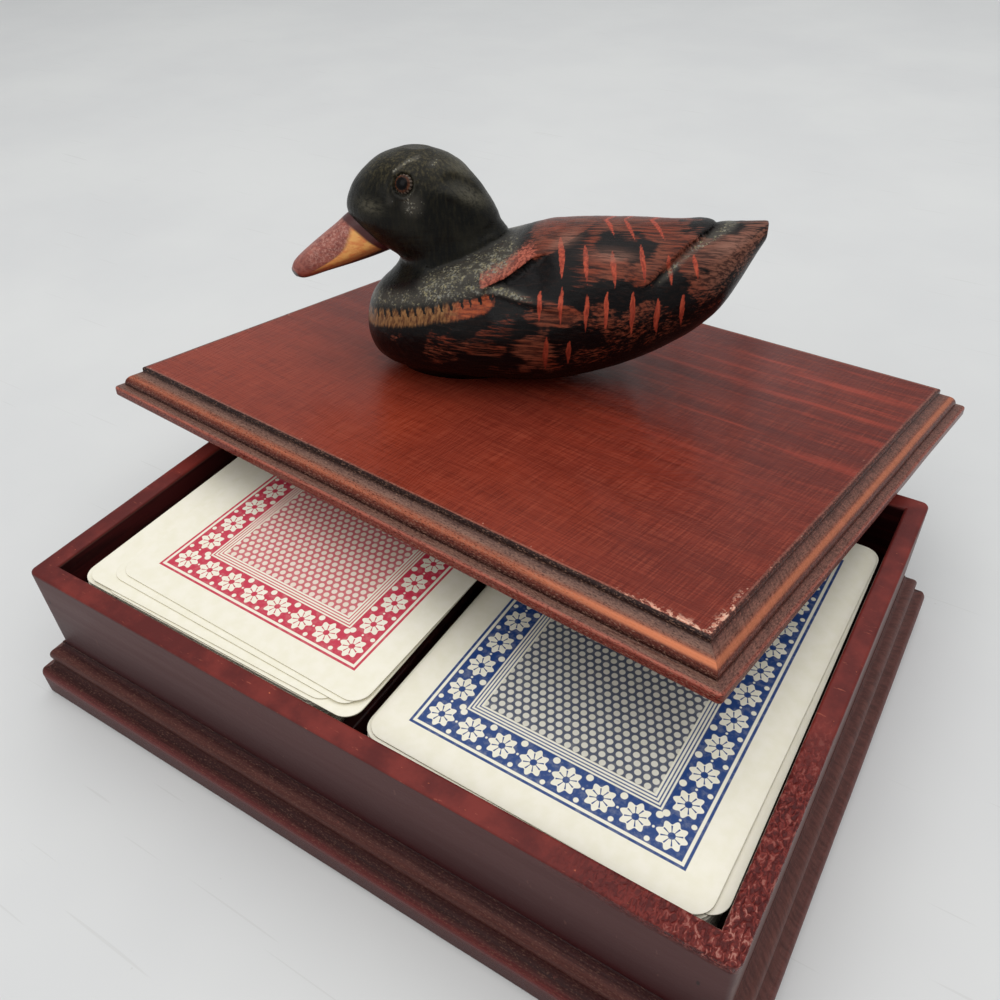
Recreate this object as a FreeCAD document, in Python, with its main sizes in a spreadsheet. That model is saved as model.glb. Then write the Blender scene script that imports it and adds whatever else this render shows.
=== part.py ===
import FreeCAD, Part
import math
import os
import Sketcher

# Two-compartment playing card box: moulded plinth, four thin walls, a low divider, a moulded
# lift-off lid set askew on the rim, a carved duck screwed to the lid, and two decks of cards.
# Frame: X along the front, Y to the back, Z up; origin in the middle of the plinth's underside.

doc = FreeCAD.newDocument("CardBox")
V = FreeCAD.Vector

# ---------------------------------------------------------------- driving dimensions, millimetres
SIZES = [
    ("card_width", 63.0),
    ("card_length", 88.0),
    ("card_thick", 0.3),
    ("card_round", 3.5),
    ("side_play", 6.3),
    ("end_play", 13.5),
    ("red_stack_height", 20.4),
    ("blue_stack_height", 17.2),
    ("wall_thick", 4.2),
    ("wall_height", 21.4),
    ("corner_round", 1.6),
    ("rim_round", 0.45),
    ("divider_thick", 3.0),
    ("divider_height", 13.4),
    ("housing_depth", 1.4),
    ("fit_clearance", 0.1),
    ("plinth_height", 14.3),
    ("plinth_over", 5.4),
    ("plinth_face_top", 5.2),
    ("plinth_lip_out", 4.7),
    ("plinth_lip_top", 7.3),
    ("plinth_lip_round", 2.4),
    ("plinth_cove_out", 2.6),
    ("plinth_cove_top", 9.4),
    ("plinth_cove_round", 1.9),
    ("plinth_bead_out", 0.75),
    ("plinth_bead_top", 12.8),
    ("plinth_bead_round", 2.3),
    ("plinth_fillet_round", 1.9),
    ("lid_side_over", 4.7),
    ("lid_end_over", 5.1),
    ("lid_thick", 6.9),
    ("lid_lip_top", 1.8),
    ("lid_lip_round", 0.45),
    ("lid_groove_in", 1.95),
    ("lid_groove_height", 2.4),
    ("lid_bead_in", 3.5),
    ("lid_bead_height", 4.9),
    ("lid_bead_round", 2.3),
    ("lid_step_in", 5.25),
    ("lid_step_height", 5.7),
    ("lid_top_round", 0.35),
    ("lid_rest_side", 15.35),
    ("lid_rest_end", 67.35),
    ("lid_rest_gap", 0.22),
    ("lid_yaw", -6.74),
    ("lid_pitch", -2.89),
    ("lid_roll", -7.35),
    ("strip_end_play", 2.8),
    ("strip_clearance", 0.5),
    ("strip_width", 5.0),
    ("strip_depth", 4.0),
    ("strip_chamfer", 0.8),
    ("brad_radius", 0.6),
    ("brad_point", 1.2),
    ("brad_length", 12.0),
    ("brad_sink", 0.4),
    ("brad_from_end", 2.9),
    ("brad_above", 4.6),
    ("brad_rise", 9.3),
    ("strip_brad_length", 8.0),
    ("strip_brad_pitch", 58.0),
    ("screw_radius", 1.1),
    ("screw_head_radius", 2.4),
    ("screw_head_depth", 1.5),
    ("screw_point", 2.0),
    ("screw_sink", 0.3),
    ("plinth_screw_length", 22.0),
    ("plinth_screw_side", 40.0),
    ("duck_screw_length", 16.0),
    ("duck_off_side", -4.85),
    ("duck_off_end", 3.35),
    ("duck_heading", 28.0),
    ("duck_length", 100.0),
    ("duck_sink", 0.5),
    ("dowel_radius", 3.0),
    ("eye_radius", 2.3),
    ("bill_tilt", 33.0),
    ("tail_slant", 20.7),
]

sheet = doc.addObject("Spreadsheet::Sheet", "Dims")
for row, (alias, value) in enumerate(SIZES, start=1):
    sheet.set("A%d" % row, alias)
    sheet.set("B%d" % row, str(value))
    sheet.setAlias("B%d" % row, alias)
doc.recompute()


# Sizes that follow from the ones above: the box is made round the cards, the lid round the box.
SUMS = [
    ("box_depth", "({card_length}+{end_play}+2*{wall_thick})"),
    ("box_length", "(2*({card_width}+{side_play}+{wall_thick})+{divider_thick})"),
    ("lid_length", "({box_length}+2*{lid_side_over})"),
    ("lid_depth", "({box_depth}+2*{lid_end_over})"),
    ("strip_length", "({box_length}-2*({wall_thick}+{strip_end_play}))"),
    ("strip_inset", "({lid_end_over}+{wall_thick}+{strip_clearance})"),
]


def expr(text):
    """Formula on the sizes, with each {name} tied to the sheet."""
    out = text
    for name, formula in reversed(SUMS):
        out = out.replace("{" + name + "}", formula)
    for alias, value in SIZES:
        out = out.replace("{" + alias + "}", "Dims." + alias)
    return out


# ---------------------------------------------------------------- sketch and feature helpers
def new_body(name):
    body = doc.addObject("PartDesign::Body", name)
    body.Label = name
    body.AllowCompound = True
    return body


def base_plane(body, role):
    return [f for f in body.Origin.OriginFeatures if f.Role == role][0]


def new_sketch(body, name, role, offset=None, shift=None):
    """Sketch on one of the body's own planes; offset moves it along the plane's normal and
    shift moves it in the plane."""
    sketch = body.newObject("Sketcher::SketchObject", name)
    sketch.AttachmentSupport = [(base_plane(body, role), "")]
    sketch.MapMode = "FlatFace"
    if shift is not None:
        sketch.setExpression("AttachmentOffset.Base.x", expr(shift[0]))
        sketch.setExpression("AttachmentOffset.Base.y", expr(shift[1]))
    if offset is not None:
        sketch.setExpression("AttachmentOffset.Base.z", expr(offset))
    doc.recompute()
    return sketch


def value_of(text):
    """Value of a formula now."""
    return float(sheet.evalExpression(expr(text).replace("Dims.", "")))


def mm(name):
    return value_of("{" + name + "}")


def bind(sketch, constraint, formula):
    index = sketch.addConstraint(constraint)
    sketch.setExpression("Constraints[%d]" % index, expr(formula))


def pin_point(sketch, geo, pos, x, y):
    """Hold one sketch point at two formulas, measured from the sketch origin."""
    if x == "0":
        sketch.addConstraint(Sketcher.Constraint("PointOnObject", geo, pos, -2))
    else:
        bind(sketch, Sketcher.Constraint("DistanceX", -1, 1, geo, pos, value_of(x)), x)
    if y == "0":
        sketch.addConstraint(Sketcher.Constraint("PointOnObject", geo, pos, -1))
    else:
        bind(sketch, Sketcher.Constraint("DistanceY", -1, 1, geo, pos, value_of(y)), y)


def outline(sketch, corners):
    """Closed outline. Each corner is (x, y) or (x, y, radius, side): the edge that leaves the
    corner is straight, or an arc whose centre lies to the left (+1) or right (-1) of travel."""
    count = len(corners)
    points = [V(value_of(c[0]), value_of(c[1]), 0) for c in corners]
    first = sketch.GeometryCount
    ends = []
    for i, corner in enumerate(corners):
        start, stop = points[i], points[(i + 1) % count]
        if len(corner) == 2:
            sketch.addGeometry(Part.LineSegment(start, stop), False)
            ends.append((1, 2))
            continue
        radius, side = value_of(corner[2]), corner[3]
        chord = stop - start
        half = chord.Length / 2.0
        normal = V(-chord.y, chord.x, 0) / chord.Length * side
        rise = math.sqrt(radius ** 2 - half ** 2)
        centre = (start + stop) / 2.0 + normal * rise
        middle = centre - normal * radius
        if side > 0:
            sketch.addGeometry(Part.Arc(start, middle, stop), False)
            ends.append((1, 2))
        else:
            sketch.addGeometry(Part.Arc(stop, middle, start), False)
            ends.append((2, 1))
        bind(sketch, Sketcher.Constraint("Radius", first + i, radius), corner[2])
    for i in range(count):
        j = (i + 1) % count
        joint = Sketcher.Constraint("Coincident", first + i, ends[i][1], first + j, ends[j][0])
        sketch.addConstraint(joint)
        pin_point(sketch, first + i, ends[i][0], corners[i][0], corners[i][1])


def rectangle(sketch, x0, y0, x1, y1):
    outline(sketch, [(x0, y0), (x1, y0), (x1, y1), (x0, y1)])


def circle(sketch, x, y, radius):
    index = sketch.addGeometry(Part.Circle(V(value_of(x), value_of(y), 0), V(0, 0, 1), value_of(radius)))
    pin_point(sketch, index, 3, x, y)
    bind(sketch, Sketcher.Constraint("Radius", index, value_of(radius)), radius)


def pad(body, sketch, name, length, reverse=False):
    feature = body.newObject("PartDesign::Pad", name)
    feature.Profile = sketch
    feature.setExpression("Length", expr(length))
    feature.Reversed = reverse
    doc.recompute()
    return feature


def pocket(body, sketch, name, length=None, reverse=False, both=False):
    """Cut; with no length it runs through everything, and it must take something away."""
    before = body.Shape.Volume
    feature = body.newObject("PartDesign::Pocket", name)
    feature.Profile = sketch
    feature.Reversed = reverse
    feature.Midplane = both
    if length is None:
        feature.Type = "ThroughAll"
    else:
        feature.setExpression("Length", expr(length))
    doc.recompute()
    if body.Shape.Volume > before - 1e-4:
        raise RuntimeError(name + " cuts nothing")
    return feature


def revolve(body, sketch, name, axis):
    feature = body.newObject("PartDesign::Revolution", name)
    feature.Profile = sketch
    feature.ReferenceAxis = (sketch, [axis])
    feature.Angle = 360
    doc.recompute()
    return feature


def mirrored(body, name, role):
    """Mirror everything made so far in the body across one of its own planes."""
    feature = body.newObject("PartDesign::Mirrored", name)
    feature.TransformMode = "Whole shape"
    feature.MirrorPlane = (base_plane(body, role), [""])
    body.Tip = feature
    doc.recompute()
    return feature


def round_edges(body, base, name, radius, chosen):
    names = ["Edge%d" % (i + 1) for i, e in enumerate(base.Shape.Edges) if chosen(e)]
    feature = body.newObject("PartDesign::Fillet", name)
    feature.Base = (base, names)
    feature.setExpression("Radius", expr(radius))
    doc.recompute()
    return feature


def place(body, x, y, z):
    for axis, formula in zip("xyz", (x, y, z)):
        body.setExpression("Placement.Base." + axis, expr(formula))
    doc.recompute()


def moulded_board(name, length, depth, edge):
    """Board with one moulding run round all four edges and mitred at the corners. edge lists
    (distance in from the outer face, height) from the underside up, with optional arcs."""
    body = new_body(name)

    def section(run):
        right = []
        left = []
        for item in edge:
            right.append(("%s-(%s)" % (run, item[0]), item[1]) + tuple(item[2:]))
            left.append(("%s" % item[0], item[1]) + tuple(item[2:]))
        ring = list(right)
        ring[-1] = ring[-1][:2]
        back = []
        for i in range(len(left) - 1, -1, -1):
            arc = left[i - 1][2:] if i > 0 else ()
            back.append(left[i][:2] + tuple(arc))
        return ring + back

    along = new_sketch(body, name + "_length_section", "XZ_Plane")
    outline(along, section(length))
    pad(body, along, name + "_pad", depth, reverse=True)
    across = new_sketch(body, name + "_depth_section", "YZ_Plane")
    rectangle(across, "0-{wall_thick}", "0-{wall_thick}", depth + "+{wall_thick}",
              "{plinth_height}+{lid_thick}")
    outline(across, section(depth))
    pocket(body, across, name + "_edge_cut", reverse=True)
    return body


# ---------------------------------------------------------------- plinth with its moulding
PLINTH_LENGTH = "({box_length}+2*{plinth_over})"
PLINTH_DEPTH = "({box_depth}+2*{plinth_over})"
PLINTH_EDGE = [
    ("0", "0"),
    ("0", "{plinth_face_top}", "{plinth_lip_round}", 1),
    ("{plinth_over}-{plinth_lip_out}", "{plinth_lip_top}"),
    ("{plinth_over}-{plinth_lip_out}+0.3", "{plinth_lip_top}+0.1", "{plinth_cove_round}", -1),
    ("{plinth_over}-{plinth_cove_out}", "{plinth_cove_top}", "{plinth_bead_round}", 1),
    ("{plinth_over}-{plinth_bead_out}", "{plinth_bead_top}", "{plinth_fillet_round}", -1),
    ("{plinth_over}", "{plinth_height}"),
]
plinth = moulded_board("base_plinth", PLINTH_LENGTH, PLINTH_DEPTH, PLINTH_EDGE)
screw_rows = (
    ("{plinth_over}+{box_length}/2-{plinth_screw_side}", "{plinth_over}+{wall_thick}/2"),
    ("{plinth_over}+{box_length}/2+{plinth_screw_side}", "{plinth_over}+{wall_thick}/2"),
    ("{plinth_over}+{box_length}/2-{plinth_screw_side}", "{plinth_over}+{box_depth}-{wall_thick}/2"),
    ("{plinth_over}+{box_length}/2+{plinth_screw_side}", "{plinth_over}+{box_depth}-{wall_thick}/2"),
)
shanks = new_sketch(plinth, "plinth_screw_holes", "XY_Plane")
for hole_x, hole_y in screw_rows:
    circle(shanks, hole_x, hole_y, "{screw_radius}")
pocket(plinth, shanks, "plinth_screw_hole_cut", reverse=True)
heads = new_sketch(plinth, "plinth_screw_heads", "XY_Plane")
for hole_x, hole_y in screw_rows:
    circle(heads, hole_x, hole_y, "{screw_head_radius}")
pocket(plinth, heads, "plinth_screw_head_cut", "{screw_sink}+{screw_head_depth}", reverse=True)
place(plinth, "-" + PLINTH_LENGTH + "/2", "-" + PLINTH_DEPTH + "/2", "0")


# ---------------------------------------------------------------- walls and divider
BRAD_LEVELS = ("{brad_above}", "{brad_above}+{brad_rise}")


def long_wall(name, front):
    """Front or back wall: full length, rounded outer corners, a stopped housing for the
    divider inside, brad holes at both ends and screw holes underneath."""
    body = new_body(name)
    plan = new_sketch(body, name + "_plan", "XY_Plane")
    far = "{box_length}"
    turn = "{corner_round}"
    outline(plan, [
        (turn, "0"),
        (far + "-" + turn, "0", turn, 1),
        (far, turn),
        (far, "{wall_thick}"),
        ("0", "{wall_thick}"),
        ("0", turn, turn, 1),
    ])
    wall = pad(body, plan, name + "_pad", "{wall_height}")
    slot = new_sketch(body, name + "_housing", "XY_Plane")
    middle = "{box_length}/2"
    half = "({divider_thick}/2+{fit_clearance}/2)"
    rectangle(slot, middle + "-" + half, "{wall_thick}-{housing_depth}", middle + "+" + half,
              "{wall_thick}+1")
    pocket(body, slot, name + "_housing_cut", "{divider_height}+{fit_clearance}", reverse=True)
    marks = new_sketch(body, name + "_brad_holes", "XZ_Plane")
    for end in ("{brad_from_end}", "{box_length}-{brad_from_end}"):
        for level in BRAD_LEVELS:
            circle(marks, end, level, "{brad_radius}")
    pocket(body, marks, name + "_brad_hole_cut")
    under = new_sketch(body, name + "_screw_holes", "XY_Plane")
    circle(under, "{box_length}/2-{plinth_screw_side}", "{wall_thick}/2", "{screw_radius}")
    circle(under, "{box_length}/2+{plinth_screw_side}", "{wall_thick}/2", "{screw_radius}")
    depth = "{screw_sink}+{plinth_screw_length}-{plinth_height}"
    last = pocket(body, under, name + "_screw_hole_cut", depth, reverse=True)
    top = mm("wall_height")

    def rim(edge):
        box = edge.BoundBox
        return box.ZMin > top - 1e-4 and box.XLength > mm("box_length") / 2

    round_edges(body, last, name + "_rim_round", "{rim_round}", rim)
    if front:
        place(body, "-{box_length}/2", "-{box_depth}/2", "{plinth_height}")
    else:
        spin = FreeCAD.Rotation(V(0, 0, 1), 180)
        base = V(mm("box_length") / 2, mm("box_depth") / 2, mm("plinth_height"))
        body.Placement = FreeCAD.Placement(base, spin)
        doc.recompute()
    return body


def end_wall(name, side):
    """Left or right wall, between the long walls, with brad holes in its ends."""
    body = new_body(name)
    plan = new_sketch(body, name + "_plan", "XY_Plane")
    rectangle(plan, "0", "0", "{wall_thick}", "{box_depth}-2*{wall_thick}")
    wall = pad(body, plan, name + "_pad", "{wall_height}")
    holes = new_sketch(body, name + "_brad_holes", "XZ_Plane")
    from_left = "{brad_from_end}" if side < 0 else "{wall_thick}-{brad_from_end}"
    for level in BRAD_LEVELS:
        circle(holes, from_left, level, "{brad_radius}")
    depth = "{brad_sink}+{brad_length}-{wall_thick}"
    pocket(body, holes, name + "_near_brads", depth)
    far = new_sketch(body, name + "_far_brad_holes", "XZ_Plane", "0-({box_depth}-2*{wall_thick})")
    for level in BRAD_LEVELS:
        circle(far, from_left, level, "{brad_radius}")
    last = pocket(body, far, name + "_far_brads", depth, reverse=True)
    top = mm("wall_height")

    def rim(edge):
        box = edge.BoundBox
        return box.ZMin > top - 1e-4 and box.YLength > mm("box_depth") / 2

    round_edges(body, last, name + "_rim_round", "{rim_round}", rim)
    across = "-{box_length}/2" if side < 0 else "{box_length}/2-{wall_thick}"
    place(body, across, "{wall_thick}-{box_depth}/2", "{plinth_height}")
    return body


front_wall = long_wall("front_wall", True)
back_wall = long_wall("back_wall", False)
left_wall = end_wall("left_wall", -1)
right_wall = end_wall("right_wall", 1)

divider = new_body("divider")
plan = new_sketch(divider, "divider_section", "XZ_Plane")
crown = "({divider_thick}/2)"
outline(plan, [
    ("0", "0"),
    ("{divider_thick}", "0"),
    ("{divider_thick}", "{divider_height}-" + crown, crown + "+0.02", 1),
    ("0", "{divider_height}-" + crown),
])
pad(divider, plan, "divider_pad", "{box_depth}-2*{wall_thick}+2*{housing_depth}-{fit_clearance}",
    reverse=True)
place(divider, "-{divider_thick}/2", "{wall_thick}-{housing_depth}+{fit_clearance}/2-{box_depth}/2",
      "{plinth_height}")


# ---------------------------------------------------------------- brads and screws
def screw_outline(length):
    """Half section of a countersunk screw: head at zero, point up the sketch's second axis."""
    return [
        ("0", "0"),
        ("{screw_head_radius}", "0"),
        ("{screw_radius}", "{screw_head_depth}"),
        ("{screw_radius}", length + "-{screw_point}"),
        ("0", length),
    ]


def brad_outline(length):
    """Half section of a brad lying along the sketch's first axis, point last."""
    return [
        ("0", "0"),
        (length, "0"),
        (length + "-{brad_point}", "{brad_radius}"),
        ("0", "{brad_radius}"),
    ]


wall_brads = new_body("wall_brads")
for number, level in enumerate(BRAD_LEVELS):
    half = new_sketch(wall_brads, "wall_brad_section_%d" % number, "YZ_Plane",
                      "{brad_from_end}-{box_length}/2",
                      ("{brad_sink}-{box_depth}/2", "{plinth_height}+" + level))
    outline(half, brad_outline("{brad_length}"))
    revolve(wall_brads, half, "wall_brad_%d" % number, "H_Axis")
mirrored(wall_brads, "wall_brads_right", "YZ_Plane")
mirrored(wall_brads, "wall_brads_back", "XZ_Plane")

plinth_screws = new_body("plinth_screws")
half = new_sketch(plinth_screws, "plinth_screw_section", "XZ_Plane",
                  "{box_depth}/2-{wall_thick}/2", ("{plinth_screw_side}", "{screw_sink}"))
outline(half, screw_outline("{plinth_screw_length}"))
revolve(plinth_screws, half, "plinth_screw", "V_Axis")
mirrored(plinth_screws, "plinth_screws_left", "YZ_Plane")
mirrored(plinth_screws, "plinth_screws_back", "XZ_Plane")


# ---------------------------------------------------------------- lid
lid_turn = FreeCAD.Rotation(mm("lid_yaw"), mm("lid_pitch"), mm("lid_roll"))
rest_on_lid = V(mm("lid_rest_side"), mm("lid_rest_end"), -mm("lid_rest_gap"))
rim_corner = V(-mm("box_length") / 2, mm("box_depth") / 2, mm("plinth_height") + mm("wall_height"))
LID_POSE = FreeCAD.Placement(rim_corner - lid_turn.multVec(rest_on_lid), lid_turn)
LID_CENTRE = LID_POSE.multiply(
    FreeCAD.Placement(V(mm("lid_length") / 2, mm("lid_depth") / 2, 0), FreeCAD.Rotation()))


def on_lid(body, pose=LID_POSE):
    body.Placement = pose
    doc.recompute()


LID_EDGE = [
    ("0", "0"),
    ("0", "{lid_lip_top}", "{lid_lip_round}", 1),
    ("{lid_lip_round}", "{lid_lip_top}+{lid_lip_round}"),
    ("{lid_groove_in}", "{lid_groove_height}", "{lid_bead_round}", 1),
    ("{lid_bead_in}", "{lid_bead_height}"),
    ("{lid_step_in}", "{lid_step_height}"),
    ("{lid_step_in}", "{lid_thick}-{lid_top_round}", "{lid_top_round}", 1),
    ("{lid_step_in}+{lid_top_round}", "{lid_thick}"),
]
lid_board = moulded_board("lid_board", "{lid_length}", "{lid_depth}", LID_EDGE)
DUCK_SCREWS = ("(0-0.2)*{duck_length}", "0.06*{duck_length}")
DUCK_SIDE = "({lid_length}/2+{duck_off_side})"
DUCK_END = "({lid_depth}/2+{duck_off_end})"
duck_screw_holes = [
    (DUCK_SIDE + "+%s*cos({duck_heading})" % u, DUCK_END + "+%s*sin({duck_heading})" % u)
    for u in DUCK_SCREWS
]
shanks = new_sketch(lid_board, "lid_screw_holes", "XY_Plane")
heads = new_sketch(lid_board, "lid_screw_heads", "XY_Plane")
for hole_x, hole_y in duck_screw_holes:
    circle(shanks, hole_x, hole_y, "{screw_radius}")
    circle(heads, hole_x, hole_y, "{screw_head_radius}")
pocket(lid_board, shanks, "lid_screw_hole_cut", reverse=True)
pocket(lid_board, heads, "lid_screw_head_cut", "{screw_sink}+{screw_head_depth}", reverse=True)
on_lid(lid_board)


def lid_strip(name, across):
    """Locating strip under the lid: drops just inside a long wall when the lid is closed."""
    body = new_body(name)
    section = new_sketch(body, name + "_section", "YZ_Plane")
    lean = "{strip_chamfer}"
    outline(section, [
        (lean, "0-{strip_depth}"),
        ("{strip_width}-" + lean, "0-{strip_depth}"),
        ("{strip_width}", lean + "-{strip_depth}"),
        ("{strip_width}", "0"),
        ("0", "0"),
        ("0", lean + "-{strip_depth}"),
    ])
    pad(body, section, name + "_pad", "{strip_length}")
    holes = new_sketch(body, name + "_brad_holes", "XY_Plane")
    for step in (-1, 0, 1):
        along = "{strip_length}/2+(%d)*{strip_brad_pitch}" % step
        circle(holes, along, "{strip_width}/2", "{brad_radius}")
    pocket(body, holes, name + "_brad_hole_cut")
    corner = V((mm("lid_length") - mm("strip_length")) / 2, across, 0)
    on_lid(body, LID_POSE.multiply(FreeCAD.Placement(corner, FreeCAD.Rotation())))
    return body


front_strip = lid_strip("lid_front_strip", mm("strip_inset"))
back_strip = lid_strip("lid_back_strip", mm("lid_depth") - mm("strip_inset") - mm("strip_width"))

nails = new_sketch(lid_board, "lid_strip_brad_holes", "XY_Plane")
for row_y in ("{strip_inset}+{strip_width}/2", "{lid_depth}-{strip_inset}-{strip_width}/2"):
    for step in (-1, 0, 1):
        circle(nails, "{lid_length}/2+(%d)*{strip_brad_pitch}" % step, row_y, "{brad_radius}")
pocket(lid_board, nails, "lid_strip_brad_hole_cut",
       "{strip_brad_length}+{brad_sink}-{strip_depth}", reverse=True)

strip_brads = new_body("lid_strip_brads")
for step in (0, 1):
    upright = new_sketch(strip_brads, "strip_brad_section_%d" % step, "XZ_Plane",
                         "{lid_depth}/2-{strip_inset}-{strip_width}/2",
                         ("%d*{strip_brad_pitch}" % step, "{brad_sink}-{strip_depth}"))
    turned = [(y, x) for x, y in brad_outline("{strip_brad_length}")]
    outline(upright, list(reversed(turned)))
    revolve(strip_brads, upright, "strip_brad_%d" % step, "V_Axis")
mirrored(strip_brads, "strip_brads_left", "YZ_Plane")
mirrored(strip_brads, "strip_brads_back", "XZ_Plane")
on_lid(strip_brads, LID_CENTRE)


# ---------------------------------------------------------------- carved duck
# Duck frame: X from bill to tail, Z up from the lid's top face. Sections of the three lofts are
# (position, height, half width, half height) in hundredths of the duck's length. The head's
# are level slices, with half length and half width.
BODY_SECTIONS = [
    (-37.3, 11.2, 5.0, 4.2),
    (-31.0, 11.5, 14.4, 10.6),
    (-22.0, 13.4, 19.0, 13.7),
    (-8.0, 15.2, 21.5, 15.6),
    (6.0, 17.3, 21.5, 17.0),
    (20.0, 20.1, 18.5, 15.8),
    (32.0, 23.6, 13.4, 13.2),
    (41.5, 27.9, 9.4, 9.3),
    (50.5, 34.1, 4.6, 4.4),
]
HEAD_SECTIONS = [
    (-17.0, 19.0, 12.2, 9.0),
    (-17.3, 25.0, 12.2, 9.2),
    (-21.2, 30.0, 15.6, 10.3),
    (-24.2, 35.0, 17.2, 10.9),
    (-25.2, 40.0, 15.1, 10.7),
    (-25.4, 44.0, 11.7, 9.2),
    (-25.4, 48.1, 5.0, 4.3),
]
BILL_SECTIONS = [
    (-30.0, 33.8, 5.4, 5.0),
    (-36.5, 30.9, 6.2, 5.8),
    (-42.0, 27.6, 6.4, 5.0),
    (-49.0, 23.5, 6.0, 3.6),
    (-54.9, 19.8, 4.0, 2.2),
]
# Axis of the neck dowel and its foot, then the eye's centre, in the same measure.
DOWEL_AT, DOWEL_FOOT, DOWEL_LENGTH = "(0-0.175)*{duck_length}", "0.16*{duck_length}", "0.2*{duck_length}"
EYE_AT, EYE_HEIGHT, EYE_SIDE = "(0-0.257)*{duck_length}", "0.427*{duck_length}", "0.084*{duck_length}"
# Foot and slant of the straight cut that ends the tail.
TAIL_AT, TAIL_HEIGHT = "0.398*{duck_length}", "0.138*{duck_length}"
shape_sheet = doc.addObject("Spreadsheet::Sheet", "Carving")
columns = ("at", "high", "wide", "tall")
line = 1
for part, sections in (("body", BODY_SECTIONS), ("head", HEAD_SECTIONS), ("bill", BILL_SECTIONS)):
    for number, section in enumerate(sections):
        for column, value in zip(columns, section):
            cell = "B%d" % line
            shape_sheet.set("A%d" % line, "%s section %d %s" % (part, number, column))
            shape_sheet.set(cell, str(value))
            shape_sheet.setAlias(cell, "%s_%s_%d" % (part, column, number))
            line += 1
doc.recompute()

ACROSS = FreeCAD.Rotation(V(1, 1, 1), 120)
LEVEL = FreeCAD.Rotation()
TILTED = FreeCAD.Rotation(V(0, 1, 0), -mm("bill_tilt")).multiply(ACROSS)


def carved(part, sections, turn, major, minor, drop="0"):
    """Loft through one elliptical section per row of the carving sheet."""
    rings = []
    for number in range(len(sections)):
        ring = doc.addObject("Part::Ellipse", "%s_section_%d" % (part, number))
        ring.Placement = FreeCAD.Placement(V(0, 0, 0), turn)
        cell = "Carving.%s_%s_%d*" + expr("{duck_length}/100")
        ring.setExpression("MajorRadius", cell % (part, major, number))
        ring.setExpression("MinorRadius", cell % (part, minor, number))
        ring.setExpression("Placement.Base.x", cell % (part, "at", number))
        ring.setExpression("Placement.Base.z", cell % (part, "high", number) + "-" + expr(drop))
        rings.append(ring)
    loft = doc.addObject("Part::Loft", part + "_loft")
    loft.Sections = rings
    loft.Solid = True
    loft.Ruled = False
    loft.MaxDegree = 5
    doc.recompute()
    return loft


def post(name, radius, height, x, z):
    peg = doc.addObject("Part::Cylinder", name)
    peg.setExpression("Radius", expr(radius))
    peg.setExpression("Height", expr(height))
    peg.setExpression("Placement.Base.x", expr(x))
    peg.setExpression("Placement.Base.z", expr(z))
    return peg


def boolean(kind, name, base, tool):
    result = doc.addObject("Part::" + kind, name)
    result.Base = base
    result.Tool = tool
    doc.recompute()
    return result


duck_turn = FreeCAD.Rotation(mm("duck_heading"), 0, 0)
duck_spot = V(value_of(DUCK_SIDE), value_of(DUCK_END), mm("lid_thick"))
DUCK_POSE = LID_POSE.multiply(FreeCAD.Placement(duck_spot, duck_turn))

body_loft = carved("body", BODY_SECTIONS, ACROSS, "wide", "tall", "{duck_sink}")
ground = doc.addObject("Part::Box", "belly_flat")
ground.setExpression("Length", expr("2*{duck_length}"))
ground.setExpression("Width", expr("{duck_length}"))
ground.setExpression("Height", expr("{duck_length}/4"))
ground.setExpression("Placement.Base.x", expr("0-{duck_length}"))
ground.setExpression("Placement.Base.y", expr("0-{duck_length}/2"))
ground.setExpression("Placement.Base.z", expr("0-{duck_length}/4"))
belly = boolean("Cut", "duck_body_flat", body_loft, ground)
astern = doc.addObject("Part::Box", "tail_cut")
astern.Placement.Rotation = FreeCAD.Rotation(V(0, 1, 0), mm("tail_slant"))
for side in ("Length", "Width", "Height"):
    astern.setExpression(side, expr("{duck_length}"))
astern.setExpression("Placement.Rotation.Angle", expr("{tail_slant}"))
astern.setExpression("Placement.Base.x", expr(TAIL_AT + "-{duck_length}/2*sin({tail_slant})"))
astern.setExpression("Placement.Base.y", expr("0-{duck_length}/2"))
astern.setExpression("Placement.Base.z", expr(TAIL_HEIGHT + "-{duck_length}/2*cos({tail_slant})"))
hull = boolean("Cut", "duck_body_tail", belly, astern)
holes = [post("neck_hole", "{dowel_radius}", DOWEL_LENGTH, DOWEL_AT, DOWEL_FOOT)]
for number, u in enumerate(DUCK_SCREWS):
    depth = "{screw_sink}+{duck_screw_length}-{lid_thick}"
    holes.append(post("belly_hole_%d" % number, "{screw_radius}", depth, u, "0"))
drilling = doc.addObject("Part::MultiFuse", "duck_body_holes")
drilling.Shapes = holes
duck_body = boolean("Cut", "duck_body", hull, drilling)

head_loft = carved("head", HEAD_SECTIONS, LEVEL, "wide", "tall")
bill_loft = carved("bill", BILL_SECTIONS, TILTED, "wide", "tall")
head_block = boolean("Fuse", "head_and_bill", head_loft, bill_loft)
seated = boolean("Cut", "head_on_body", head_block, body_loft)
eyes = []
for side in (-1, 1):
    eye = doc.addObject("Part::Sphere", "eye_left" if side < 0 else "eye_right")
    eye.setExpression("Radius", expr("{eye_radius}"))
    eye.setExpression("Placement.Base.x", expr(EYE_AT))
    eye.setExpression("Placement.Base.y", expr("%d*" % side + EYE_SIDE))
    eye.setExpression("Placement.Base.z", expr(EYE_HEIGHT))
    eyes.append(eye)
head_holes = doc.addObject("Part::MultiFuse", "duck_head_holes")
head_holes.Shapes = eyes + [post("crown_hole", "{dowel_radius}", DOWEL_LENGTH, DOWEL_AT,
                                 DOWEL_FOOT)]
duck_head = boolean("Cut", "duck_head", seated, head_holes)
duck_eyes = doc.addObject("Part::MultiFuse", "duck_eyes")
duck_eyes.Shapes = eyes
neck_dowel = new_body("neck_dowel")
end_circle = new_sketch(neck_dowel, "neck_dowel_end", "XY_Plane", DOWEL_FOOT)
circle(end_circle, DOWEL_AT, "0", "{dowel_radius}")
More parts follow.
